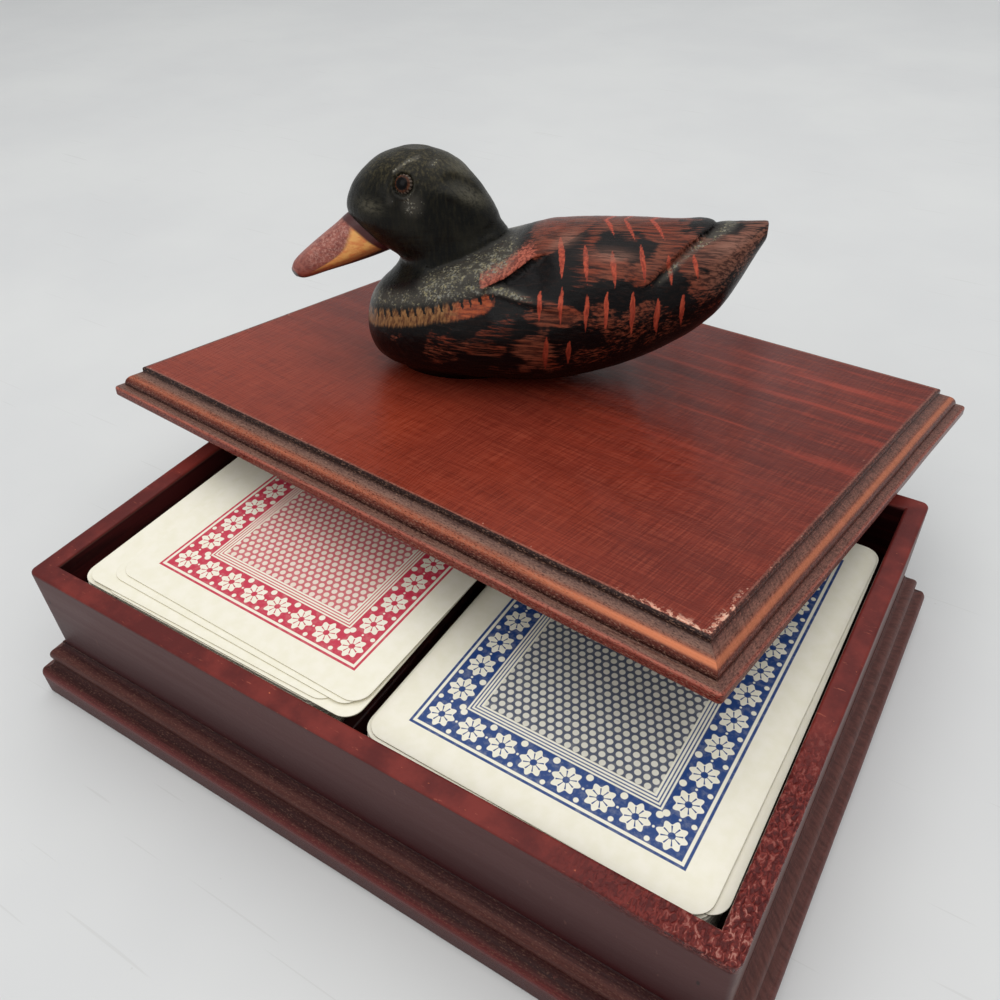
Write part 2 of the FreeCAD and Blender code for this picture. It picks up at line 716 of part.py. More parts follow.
pad(neck_dowel, end_circle, "neck_dowel_pad", DOWEL_LENGTH)
on_lid(neck_dowel, DUCK_POSE)
for piece in (duck_body, duck_head, duck_eyes):
    piece.Placement = DUCK_POSE

duck_screws = new_body("duck_screws")
for number, u in enumerate(DUCK_SCREWS):
    upright = new_sketch(duck_screws, "duck_screw_section_%d" % number, "XZ_Plane", None,
                         (u, "{screw_sink}-{lid_thick}"))
    outline(upright, screw_outline("{duck_screw_length}"))
    revolve(duck_screws, upright, "duck_screw_%d" % number, "V_Axis")
on_lid(duck_screws, DUCK_POSE)


# ---------------------------------------------------------------- playing cards
# How far each card's middle lies from the middle of its compartment, as shares of the play
# along X and along Y, and its turn in degrees. Cards past 0.5 lie over the low divider.
DEALS = [
    ("red_deck_stack", "red", 0.34, -0.45, 0.0),
    ("red_card_1", "red", 1.44, -0.44, 0.0),
    ("red_card_2", "red", 0.48, -0.40, 0.3),
    ("red_card_3", "red", 1.33, -0.26, -1.1),
    ("red_card_4", "red", 1.57, -0.17, -1.6),
    ("blue_deck_stack", "blue", 0.15, -0.43, 0.0),
    ("blue_card_1", "blue", 0.41, -0.32, 0.3),
    ("blue_card_2", "blue", 0.13, -0.41, -0.5),
    ("blue_card_3", "blue", 0.24, -0.38, -0.9),
]
deal_sheet = doc.addObject("Spreadsheet::Sheet", "Deal")
for line, (name, deck, side, end, turn) in enumerate(DEALS, start=1):
    deal_sheet.set("A%d" % line, name)
    for column, key, value in (("B", "side", side), ("C", "end", end), ("D", "turn", turn)):
        deal_sheet.set("%s%d" % (column, line), str(value))
        deal_sheet.setAlias("%s%d" % (column, line), "%s_%s" % (name, key))
doc.recompute()
HALF_WIDE = "{card_width}/2"
HALF_LONG = "{card_length}/2"
CARD_OUTLINE = [
    ("{card_round}-" + HALF_WIDE, "0-" + HALF_LONG),
    (HALF_WIDE + "-{card_round}", "0-" + HALF_LONG, "{card_round}", 1),
    (HALF_WIDE, "{card_round}-" + HALF_LONG),
    (HALF_WIDE, HALF_LONG + "-{card_round}", "{card_round}", 1),
    (HALF_WIDE + "-{card_round}", HALF_LONG),
    ("{card_round}-" + HALF_WIDE, HALF_LONG, "{card_round}", 1),
    ("0-" + HALF_WIDE, HALF_LONG + "-{card_round}"),
    ("0-" + HALF_WIDE, "{card_round}-" + HALF_LONG, "{card_round}", 1),
]
MIDDLE = {
    "red": "0-({divider_thick}+{card_width}+{side_play})/2",
    "blue": "({divider_thick}+{card_width}+{side_play})/2",
}
dealt = {"red": 0, "blue": 0}
cards = []
for name, deck, side, end, turn in DEALS:
    card = new_body(name)
    plan = new_sketch(card, name + "_plan", "XY_Plane")
    outline(plan, CARD_OUTLINE)
    stack = "{%s_stack_height}" % deck
    if name.endswith("stack"):
        pad(card, plan, name + "_pad", stack)
        level = "{plinth_height}"
    else:
        pad(card, plan, name + "_pad", "{card_thick}")
        level = "{plinth_height}+%s+%d*{card_thick}" % (stack, dealt[deck])
        dealt[deck] += 1
    card.Placement = FreeCAD.Placement(V(0, 0, 0), FreeCAD.Rotation(turn, 0, 0))
    card.setExpression("Placement.Base.x", expr(MIDDLE[deck] + "+{side_play}*") + "Deal.%s_side" % name)
    card.setExpression("Placement.Base.y", expr("{end_play}*") + "Deal.%s_end" % name)
    card.setExpression("Placement.Base.z", expr(level))
    cards.append(card)
doc.recompute()

# ---------------------------------------------------------------- checks and export
PIECES = [plinth, front_wall, back_wall, left_wall, right_wall, divider, wall_brads,
          plinth_screws, lid_board, front_strip, back_strip, strip_brads, duck_body, duck_head,
          duck_eyes, neck_dowel, duck_screws] + cards
for item in doc.Objects:
    if "Invalid" in item.State or "Error" in item.State:
        raise RuntimeError(item.Label + " is in state " + str(item.State))
os.makedirs("parts", exist_ok=True)
for piece in PIECES:
    piece.Label = piece.Name
    shape = piece.Shape
    if shape.isNull() or not shape.isValid() or shape.Volume <= 0:
        raise RuntimeError(piece.Label + " has no valid solid")
    shape.exportStep("parts/" + piece.Label + ".step")
    print("%-18s solids %2d volume %9.1f" % (piece.Label, len(shape.Solids), shape.Volume))
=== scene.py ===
import math
import bpy
import numpy as np
from mathutils import Matrix, Quaternion, Vector


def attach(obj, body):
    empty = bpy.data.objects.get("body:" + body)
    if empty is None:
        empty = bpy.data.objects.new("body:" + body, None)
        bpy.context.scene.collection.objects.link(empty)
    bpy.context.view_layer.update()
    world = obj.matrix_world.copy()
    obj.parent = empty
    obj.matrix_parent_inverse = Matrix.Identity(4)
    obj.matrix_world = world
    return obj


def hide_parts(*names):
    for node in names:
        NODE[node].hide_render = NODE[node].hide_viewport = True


# Playing card box on a moulded plinth, with two decks and a loose lid that carries a carved duck.
# Frame: X along the front, Y to the back, Z up, origin in the middle of the underside.
# Sizes are in millimetres unless a comment says metres.

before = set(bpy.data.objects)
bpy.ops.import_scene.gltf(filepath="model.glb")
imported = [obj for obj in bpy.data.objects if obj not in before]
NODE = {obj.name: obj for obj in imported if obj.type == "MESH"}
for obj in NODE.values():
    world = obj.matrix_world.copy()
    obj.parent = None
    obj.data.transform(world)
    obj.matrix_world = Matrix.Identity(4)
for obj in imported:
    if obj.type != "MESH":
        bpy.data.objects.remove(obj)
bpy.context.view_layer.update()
MM = 0.001
rng = np.random.default_rng(7)

CARD_WIDTH, CARD_LENGTH, CARD_THICK, CARD_ROUND = 63.0, 88.0, 0.3, 3.5
SIDE_PLAY, END_PLAY = 6.3, 13.5
STACK_HEIGHT = {"red": 20.4, "blue": 17.2}
DIVIDER_THICK, DIVIDER_HEIGHT, DIVIDER_LENGTH = 3.0, 13.4, 103.9
BOX_LENGTH, BOX_DEPTH = 150.0, 109.9
WALL_HEIGHT, WALL_THICK, RIM_ROUNDING_FROM = 21.4, 4.2, 20.9
PLINTH_LENGTH, PLINTH_DEPTH, PLINTH_HEIGHT = 160.8, 120.7, 14.3
LID_LENGTH, LID_DEPTH, LID_THICK, LID_STEP_IN = 159.4, 120.1, 6.9, 5.25
# Where the lid's underside meets the rim's back left corner, from the lid's own front left corner.
REST_SIDE, REST_END, REST_GAP = 15.35, 67.35, 0.22
DUCK_OFF_SIDE, DUCK_OFF_END, DUCK_HEADING, DUCK_SINK = -4.85, 3.35, 28.0, 0.5

# ------------------------------ node helpers


def srgb(r, g, b):
    """Screen colour, 0 to 255, as linear light."""
    return tuple(((c / 255 + 0.055) / 1.055) ** 2.4 if c > 10 else c / 255 / 12.92 for c in (r, g, b))


def arithmetic(operation, swapped=False):
    """Method for one arithmetic sign between two values."""
    def apply(self, other=0.0):
        pair = (other, self) if swapped else (self, other)
        return self.nodes.math(operation, *pair)
    return apply


class Value:
    """Output of a node, which takes plain arithmetic."""

    def __init__(self, nodes, socket):
        self.nodes, self.socket = nodes, socket

    __add__, __radd__ = arithmetic("ADD"), arithmetic("ADD", True)
    __sub__, __rsub__ = arithmetic("SUBTRACT"), arithmetic("SUBTRACT", True)
    __mul__, __rmul__ = arithmetic("MULTIPLY"), arithmetic("MULTIPLY", True)
    __truediv__, __abs__ = arithmetic("DIVIDE"), arithmetic("ABSOLUTE")


class Nodes:
    """Small writer for one material's node tree."""

    def __init__(self, name):
        self.mat = bpy.data.materials.new(name)
        self.mat.use_nodes = True
        self.tree = self.mat.node_tree
        self.tree.nodes.clear()
        output = self.tree.nodes.new("ShaderNodeOutputMaterial")
        self.bsdf = self.tree.nodes.new("ShaderNodeBsdfPrincipled")
        self.tree.links.new(self.bsdf.outputs[0], output.inputs[0])

    def put(self, socket, value):
        if isinstance(value, Value):
            self.tree.links.new(value.socket, socket)
        elif socket.type == "RGBA":
            socket.default_value = (*value, 1.0) if hasattr(value, "__len__") else (value, value, value, 1.0)
        else:
            socket.default_value = value

    def add(self, kind, ins=(), out=0, **props):
        node = self.tree.nodes.new("ShaderNode" + kind)
        for key, value in props.items():
            setattr(node, key, value)
        for key, value in dict(ins).items():
            self.put(node.inputs[key], value)
        return Value(self, node.outputs[out])

    def math(self, op, a, b=0.0, clamp=False):
        return self.add("Math", {0: a, 1: b}, operation=op, use_clamp=clamp)

    def least(self, a, b):
        return self.math("MINIMUM", a, b)

    def most(self, a, b):
        return self.math("MAXIMUM", a, b)

    def hypot(self, a, b):
        return self.math("SQRT", a * a + b * b)

    def mm(self):
        """Place on the piece in millimetres."""
        return self.move(self.add("TexCoord", out="Object"), (1000, 1000, 1000))

    def attr(self, name):
        return self.add("Attribute", out="Fac", attribute_name=name)

    def stops(self, fac, colors):
        """Colour by place: each item is a place and a screen colour."""
        node = self.tree.nodes.new("ShaderNodeValToRGB")
        self.put(node.inputs[0], fac)
        band = node.color_ramp
        for element, (place, *color) in zip(band.elements, (colors[0], colors[-1])):
            element.position, element.color = place, (*srgb(*color), 1)
        for place, *color in colors[1:-1]:
            band.elements.new(place).color = (*srgb(*color), 1)
        return Value(self, node.outputs[0])

    def move(self, vec, scale=(1, 1, 1), rot=(0, 0, 0)):
        return self.add("Mapping", {"Vector": vec, "Scale": scale, "Rotation": rot})

    def noise(self, vec, scale, detail, rough, warp=0.0):
        ins = {"Vector": vec, "Scale": scale, "Detail": detail, "Roughness": rough, "Distortion": warp}
        return self.add("TexNoise", ins)

    def spots(self, scale, detail, rough):
        return self.noise(self.mm(), scale, detail, rough)

    def streaks(self, scales, detail, rough, rot=(0, 0, 0)):
        """Noise drawn out along the axes of small scale."""
        return self.noise(self.move(self.mm(), scales, rot), 1.0, detail, rough)

    def tinted(self, color, factors):
        return self.add("VectorMath", {0: color, 1: factors}, operation="MULTIPLY")

    def mix(self, fac, a, b):
        """From a to b; a tuple is a screen colour."""
        node = self.tree.nodes.new("ShaderNodeMix")
        node.data_type = "RGBA"
        a, b = (srgb(*value) if isinstance(value, tuple) else value for value in (a, b))
        for socket, value in zip((node.inputs[0], node.inputs[6], node.inputs[7]), (fac, a, b)):
            self.put(socket, value)
        return Value(self, node.outputs[2])

    def ramp(self, fac, low, high, a=0.0, b=1.0, smooth=True):
        ins = {"Value": fac, "From Min": low, "From Max": high, "To Min": a, "To Max": b}
        kind = "SMOOTHSTEP" if smooth else "LINEAR"
        return self.add("MapRange", ins, interpolation_type=kind, clamp=True)

    def blend(self, texture, low, high, a, b):
        """Colour a where the texture is low, b where it is high."""
        return self.mix(self.ramp(texture, low, high), a, b)

    def lay(self, color, texture, low, high, amount, tone):
        """The tone laid over a colour where the texture is high."""
        return self.mix(self.ramp(texture, low, high, 0.0, amount), color, tone)

    def xyz(self, vec):
        node = self.tree.nodes.new("ShaderNodeSeparateXYZ")
        self.put(node.inputs[0], vec)
        return [Value(self, socket) for socket in node.outputs]

    def bump(self, height, strength, distance):
        """Relief of a texture; the distance is in metres."""
        return self.add("Bump", {"Height": height, "Strength": strength, "Distance": distance})

    def shade(self, color, rough, specular=0.5, normal=None, metallic=0.0):
        """Ends the material and returns it."""
        ins = {"Base Color": color, "Roughness": rough, "Specular IOR Level": specular, "Metallic": metallic}
        for key, value in ins.items():
            self.put(self.bsdf.inputs[key], value)
        if normal is not None:
            self.put(self.bsdf.inputs["Normal"], normal)
        return self.mat


# ------------------------------ mesh helpers


def mesh_object(name, verts, faces, materials, face_material=None, smooth=True, pose=None, scale=MM):
    data = bpy.data.meshes.new(name)
    places = [tuple(v) for v in np.asarray(verts, float) * scale]
    data.from_pydata(places, [], [tuple(map(int, face)) for face in faces])
    for material in materials:
        data.materials.append(material)
    if face_material is not None:
        data.polygons.foreach_set("material_index", np.asarray(face_material, np.int32))
    data.polygons.foreach_set("use_smooth", [smooth] * len(data.polygons))
    data.update()
    obj = bpy.data.objects.new(name, data)
    bpy.context.scene.collection.objects.link(obj)
    if pose is not None:
        obj.matrix_world = pose
    return obj


def stand_for(obj, body, nodes):
    """Says what a piece moves with and which nodes it stands for."""
    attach(obj, body)
    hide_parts(*nodes)


def tube(rings, bottom=True, top=True):
    """Skin through rings of equal count, from the bottom up; the caps are its last faces."""
    count, size = len(rings), len(rings[0])
    faces = []
    for i in range(count - 1):
        for j in range(size):
            a, b = i * size + j, i * size + (j + 1) % size
            faces.append((a, b, b + size, a + size))
    if bottom:
        faces.append(tuple(range(size - 1, -1, -1)))
    if top:
        faces.append(tuple((count - 1) * size + j for j in range(size)))
    return np.concatenate(rings), faces


def joined(parts):
    """Points and faces of several skins as one."""
    points, faces, base = [], [], 0
    for part_points, part_faces in parts:
        points.append(part_points)
        faces += [tuple(v + base for v in face) for face in part_faces]
        base += len(part_points)
    return np.concatenate(points), faces


def set_attribute(obj, name, values):
    layer = obj.data.attributes.new(name, "FLOAT", "POINT")
    layer.data.foreach_set("value", np.asarray(values, np.float32))


def smooth_step(t):
    return t * t * (3 - 2 * t)


def noise1(x, seed, octaves=3):
    """Smooth one-dimensional noise, about -1 to 1."""
    x = np.asarray(x, float)
    total = np.zeros_like(x)
    gain = 0.5
    for octave in range(octaves):
        table = np.random.default_rng(seed * 31 + octave).uniform(-1, 1, 512)
        y = x * 2 ** octave + 100.0
        cell = np.floor(y).astype(int)
        t = smooth_step(y - cell)
        total += gain * (table[cell % 512] * (1 - t) + table[(cell + 1) % 512] * t)
        gain *= 0.5
    return total


def noise2(x, y, seed, octaves=3):
    """Smooth two-dimensional noise, about -1 to 1."""
    x, y = np.asarray(x, float), np.asarray(y, float)
    total = np.zeros(np.broadcast(x, y).shape)
    gain = 0.5
    for octave in range(octaves):
        table = np.random.default_rng(seed * 57 + octave).uniform(-1, 1, (64, 64))
        u, v = x * 2 ** octave + 20.0, y * 2 ** octave + 20.0
        i, j = np.floor(u).astype(int), np.floor(v).astype(int)
        s, t = smooth_step(u - i), smooth_step(v - j)
        a = table[i % 64, j % 64] * (1 - s) + table[(i + 1) % 64, j % 64] * s
        b = table[i % 64, (j + 1) % 64] * (1 - s) + table[(i + 1) % 64, (j + 1) % 64] * s
        total += gain * (a * (1 - t) + b * t)
        gain *= 0.5
    return total


# ------------------------------ camera, light, floor
# World to camera turn as axis times angle, then the eye's place in metres.
TURN = Vector((2.217, 0.6161, -0.3264))
EYE_PLACE = (0.0788, -0.1137, 0.1640)
right, down, ahead = (Vector(row) for row in Quaternion(TURN.normalized(), TURN.length).to_matrix())
axes = Matrix((right, -down, -ahead)).transposed()
camera_data = bpy.data.cameras.new("camera")
camera_data.lens = 33.05
camera_data.sensor_width = 36.0
camera_data.clip_start = 0.005
camera = bpy.data.objects.new("camera", camera_data)
camera.matrix_world = Matrix.Translation(EYE_PLACE) @ axes.to_4x4()
scene = bpy.context.scene
scene.collection.objects.link(camera)
scene.camera = camera
scene.view_settings.view_transform = "Standard"


def lamp(name, place, aim, size, power, color=(1, 1, 1)):
    """Soft lamp; its place, aim and size are in metres."""
    data = bpy.data.lights.new(name, "AREA")
    data.shape = "RECTANGLE"
    data.size, data.size_y = size
    data.energy = power
    data.color = color
    obj = bpy.data.objects.new(name, data)
    obj.location = place
    obj.rotation_euler = (Vector(aim) - Vector(place)).to_track_quat("-Z", "Y").to_euler()
    scene.collection.objects.link(obj)


def make_world():
    """Sky that lights the object, and a pale backdrop for the camera, reflections and glass."""
    world = bpy.data.worlds.new("world")
    world.use_nodes = True
    tree = world.node_tree
    sky = tree.nodes["Background"]
    sky.inputs["Color"].default_value = (0.97, 0.985, 1.0, 1)
    sky.inputs["Strength"].default_value = 0.40
    backdrop = tree.nodes.new("ShaderNodeBackground")
    backdrop.inputs["Color"].default_value = (0.53, 0.54, 0.54, 1)
    ray = tree.nodes.new("ShaderNodeLightPath")
    choice = tree.nodes.new("ShaderNodeMixShader")
    seen, seen_through = (tree.nodes.new("ShaderNodeMath") for _ in range(2))
    seen_through.use_clamp = True
    for source, target in (
        (ray.outputs["Is Camera Ray"], seen.inputs[0]),
        (ray.outputs["Is Glossy Ray"], seen.inputs[1]),
        (seen.outputs[0], seen_through.inputs[0]),
        (ray.outputs["Is Transmission Ray"], seen_through.inputs[1]),
        (seen_through.outputs[0], choice.inputs["Fac"]),
        (sky.outputs[0], choice.inputs[1]),
        (backdrop.outputs[0], choice.inputs[2]),
        (choice.outputs[0], tree.nodes["World Output"].inputs["Surface"]),
    ):
        tree.links.new(source, target)
    return world


scene.world = make_world()
lamp("overhead", (0.10, 0.10, 0.95), (0.0, 0.0, 0.03), (1.5, 1.3), 7.3)
lamp("front", (-0.25, -0.85, 0.75), (0, 0, 0.03), (0.7, 0.7), 2.8, (1.0, 0.985, 0.96))


def floor_material():
    n = Nodes("floor")
    grain = n.noise(n.add("TexCoord", out="Object"), 9.0, 4.0, 0.55)
    color = n.blend(grain, 0.3, 0.7, (221, 222, 222), (227, 228, 227))
    for turn_by, width in ((1.1, 0.9), (2.0, 0.7), (0.2, 1.1)):
        hair = n.streaks((0.02, width, 1.0), 1.0, 0.5, (0, 0, turn_by))
        color = n.lay(color, hair, 0.745, 0.770, 0.14, (176, 174, 168))
    color = n.lay(color, n.spots(0.45, 3.0, 0.7), 0.70, 0.76, 0.3, (186, 184, 178))
    return n.shade(color, 0.6, 0.15)


FLOOR_HALF = 3000.0
floor = mesh_object(
    "floor", [(x * FLOOR_HALF, y * FLOOR_HALF, 0) for x, y in ((-1, -1), (1, -1), (1, 1), (-1, 1))],
    [(0, 1, 2, 3)], [floor_material()], smooth=False)

# ------------------------------ forms


def trace(points, step=0.12):
    """Dense edge profile. An item (inset, height, radius, side) starts an arc to the next item."""
    dense = []
    for here, there in zip(points[:-1], points[1:]):
        a, b = np.array(here[:2], float), np.array(there[:2], float)
        chord = b - a
        length = float(np.hypot(*chord))
        count = max(2, int(length / step))
        t = np.linspace(0, 1, count, endpoint=False)[:, None]
        line = a + chord * t
        if len(here) > 2:
            radius, side = max(here[2], length / 2), here[3]
            rise = math.sqrt(max(radius * radius - length * length / 4, 0.0))
            normal = np.array([-chord[1], chord[0]]) / length
            centre = (a + b) / 2 - normal * rise * side
            start = math.atan2(*(a - centre)[::-1])
            sweep = 2 * math.asin(min(1.0, length / 2 / radius)) * -side
            angle = start + sweep * t[:, 0]
            line = centre + radius * np.stack([np.cos(angle), np.sin(angle)], 1)
        dense.append(line)
    dense = np.concatenate(dense + [np.array([points[-1][:2]], float)])
    # Smoothed twice, which eases every corner a little.
    for _ in range(2):
        dense[1:-1] = (dense[:-2] + 2 * dense[1:-1] + dense[2:]) / 4
    return dense


def profile_length(profile):
    return float(np.hypot(*np.diff(profile, axis=0).T).sum())


class Plan:
    """Rounded rectangle sampled the same way at every inset."""

    def __init__(self, length, depth, corner, step=2.0, arc=7):
        self.half = (length / 2, depth / 2)
        self.corner = corner
        marks = []
        for side in range(4):
            count = max(3, int(2 * self.half[side % 2] / step))
            marks += [(side, along, 0.0) for along in np.linspace(0, 1, count)]
            marks += [(side, 1.0, angle) for angle in np.linspace(0, math.pi / 2, arc + 2)[1:-1]]
        self.side, self.along, self.angle = np.array(marks).T
        self.count = len(marks)

    def at(self, inset):
        sharpest = 0.12
        radius = max(self.corner - inset, sharpest)
        out = np.zeros((self.count, 2))
        ways = (((1, 0), (0, -1)), ((0, 1), (1, 0)), ((-1, 0), (0, 1)), ((0, -1), (-1, 0)))
        for side, (run, push) in enumerate(ways):
            pick = self.side == side
            half_run = self.half[side % 2] - inset
            half_out = self.half[(side + 1) % 2] - inset
            t, a = self.along[pick], self.angle[pick]
            straight = half_run - radius
            along = -straight * (1 - t) + straight * t + radius * np.sin(a)
            outward = np.where(a > 0, half_out - radius * (1 - np.cos(a)), half_out)
            out[pick] = np.outer(along, run) + np.outer(outward, push)
        return out

    def run(self):
        """Length along the edge, and whether each point belongs to an end."""
        ring = self.at(0.0)
        step = np.hypot(*(np.roll(ring, -1, 0) - ring).T)
        length = np.concatenate([[0], np.cumsum(step)[:-1]])
        turned = np.where(self.angle > math.pi / 4, self.side + 1, self.side) % 4
        return length, turned % 2


def moulded(name, plan, profile, material, pose, wave=0.0, seed=1, top=True, bottom=True):
    """Board whose edge follows the profile of (inset, height) all round, and wanders by the wave."""
    long_wave, short_wave = 17.0, 11.0
    length, on_end = plan.run()
    rows, bands = [], []
    band = np.concatenate([[0], np.cumsum(np.hypot(*np.diff(profile, axis=0).T))])
    for (inset, height), place in zip(profile, band):
        ring = plan.at(inset)
        loose = 0 if place in (band[0], band[-1]) else 1
        drift = wave * noise1(length / long_wave, seed) * loose
        lift = wave * noise1(length / short_wave, seed + 3) * loose * 0.5
        away = ring / np.maximum(np.abs(ring).max(1, keepdims=True), 1e-6)
        rows.append(np.column_stack([ring + away * drift[:, None], height + lift]))
        bands.append(np.full(plan.count, place))
    points, faces = tube(rows, bottom, top)
    obj = mesh_object(name, points, faces, [material], pose=pose)
    set_attribute(obj, "band", np.concatenate(bands))
    set_attribute(obj, "run", np.tile(length, len(rows)))
    set_attribute(obj, "end", np.tile(on_end, len(rows)))
    return obj


def rot(axis, degrees):
    return Matrix.Rotation(math.radians(degrees), 4, axis)


def move_mm(x, y, z):
    return Matrix.Translation(Vector((x, y, z)) * MM)


# The lid rests on the rim's back left corner and lies askew.
LID_TURN = rot("Z", -6.74) @ rot("Y", -2.89) @ rot("X", -7.35)
RIM_CORNER = move_mm(-BOX_LENGTH / 2, BOX_DEPTH / 2, PLINTH_HEIGHT + WALL_HEIGHT)
LID_POSE = RIM_CORNER @ LID_TURN @ move_mm(-REST_SIDE, -REST_END, REST_GAP)
LID_MIDDLE = LID_POSE @ move_mm(LID_LENGTH / 2, LID_DEPTH / 2, 0)
DUCK_SPOT = move_mm(LID_LENGTH / 2 + DUCK_OFF_SIDE, LID_DEPTH / 2 + DUCK_OFF_END, LID_THICK)
DUCK_POSE = LID_POSE @ DUCK_SPOT @ rot("Z", DUCK_HEADING)

PLINTH_EDGE = trace([
    (0.35, 0.0), (0.0, 0.35), (0.0, 5.2, 2.4, 1), (0.7, 7.3), (1.0, 7.4, 1.9, -1), (2.8, 9.4, 2.3, 1),
    (4.65, 12.8, 1.9, -1), (5.2, PLINTH_HEIGHT), (5.9, PLINTH_HEIGHT),
])
WALL_EDGE = trace([
    (0.0, 0.0), (0.0, RIM_ROUNDING_FROM), (0.13, 21.27), (0.5, WALL_HEIGHT), (3.75, WALL_HEIGHT),
    (4.08, 21.28), (WALL_THICK, 20.95), (WALL_THICK, 0.0),
])
LID_EDGE = trace([
    (0.3, 0.0), (0.0, 0.3), (0.0, 1.8, 0.45, 1), (0.45, 2.25), (1.95, 2.4, 2.3, 1), (3.5, 4.9),
    (LID_STEP_IN, 5.7), (LID_STEP_IN, 6.6), (5.5, LID_THICK), (6.3, LID_THICK),
])
DIVIDER_EDGE = trace([(0.0, 0.0), (0.0, 13.1), (0.3, DIVIDER_HEIGHT), (0.6, DIVIDER_HEIGHT)])
PLINTH_SPAN, LID_SPAN = profile_length(PLINTH_EDGE), profile_length(LID_EDGE)
# How far along the wall's profile its inner face starts.
INNER_FACE = profile_length(WALL_EDGE) - RIM_ROUNDING_FROM

# ------------------------------ wood
# Colour across each moulding: place from the bottom, 0 to 1, then red, green and blue. Besides the stain, the
# tables hold painted shade in the hollows, in the lid's step, at the lower arrises and where the plinth meets
# the wall, and painted highlights on the crests of the beads and lips.
LID_BANDS = [
    (0.00, 58, 20, 18), (0.05, 114, 44, 34), (0.16, 124, 50, 39), (0.195, 186, 104, 86), (0.225, 146, 84, 70),
    (0.25, 122, 88, 76), (0.35, 112, 78, 67), (0.385, 42, 18, 15), (0.44, 82, 36, 27), (0.52, 118, 54, 38),
    (0.585, 182, 104, 76), (0.62, 160, 90, 66), (0.67, 140, 90, 72), (0.70, 134, 98, 84), (0.79, 104, 76, 67),
    (0.845, 50, 30, 26), (0.885, 32, 14, 12), (0.945, 44, 18, 15), (0.965, 166, 98, 82), (1.00, 140, 70, 54),
]
PLINTH_BANDS = [
    (0.00, 34, 14, 14), (0.04, 66, 28, 29), (0.26, 74, 32, 32), (0.30, 94, 32, 33), (0.36, 104, 40, 38),
    (0.42, 82, 34, 32), (0.45, 70, 32, 29), (0.48, 50, 17, 16), (0.60, 56, 20, 18), (0.66, 74, 36, 31),
    (0.80, 86, 46, 40), (0.86, 58, 22, 21), (1.00, 36, 12, 15),
]


def stain_and_painted_light(n, band, ends, tone, bands, span, speck, seed=0.0):
    """Colour of a stained moulding with painted shade and highlights in its bands: bands by place across it,
    streaks along it, specks over it.
    """
    run = n.attr("run")

    def along_edge(by_run, by_band, part):
        return n.add("CombineXYZ", {0: run * by_run, 1: band * by_band, 2: seed + part})

    streak = n.noise(along_edge(0.045, 1.6, 0), 2.2, 5.0, 0.62)
    across = n.noise(along_edge(1.1, 0.30, 4), 1.3, 4.0, 0.65)
    grit = n.noise(along_edge(1.0, 2.6, 9), 1.7, 2.0, 0.7)
    color = n.stops(band / span + (streak - 0.5) * 0.035, bands)
    grain = n.mix(ends, streak, across)
    color = n.lay(color, grain, 0.42, 0.62, 0.62, n.tinted(color, tone))
    color = n.lay(color, grit, 0.55, 0.68, speck, (146, 110, 92))
    color = n.lay(color, grit, 0.45, 0.34, speck, (36, 16, 14))
    return color, grain, grit


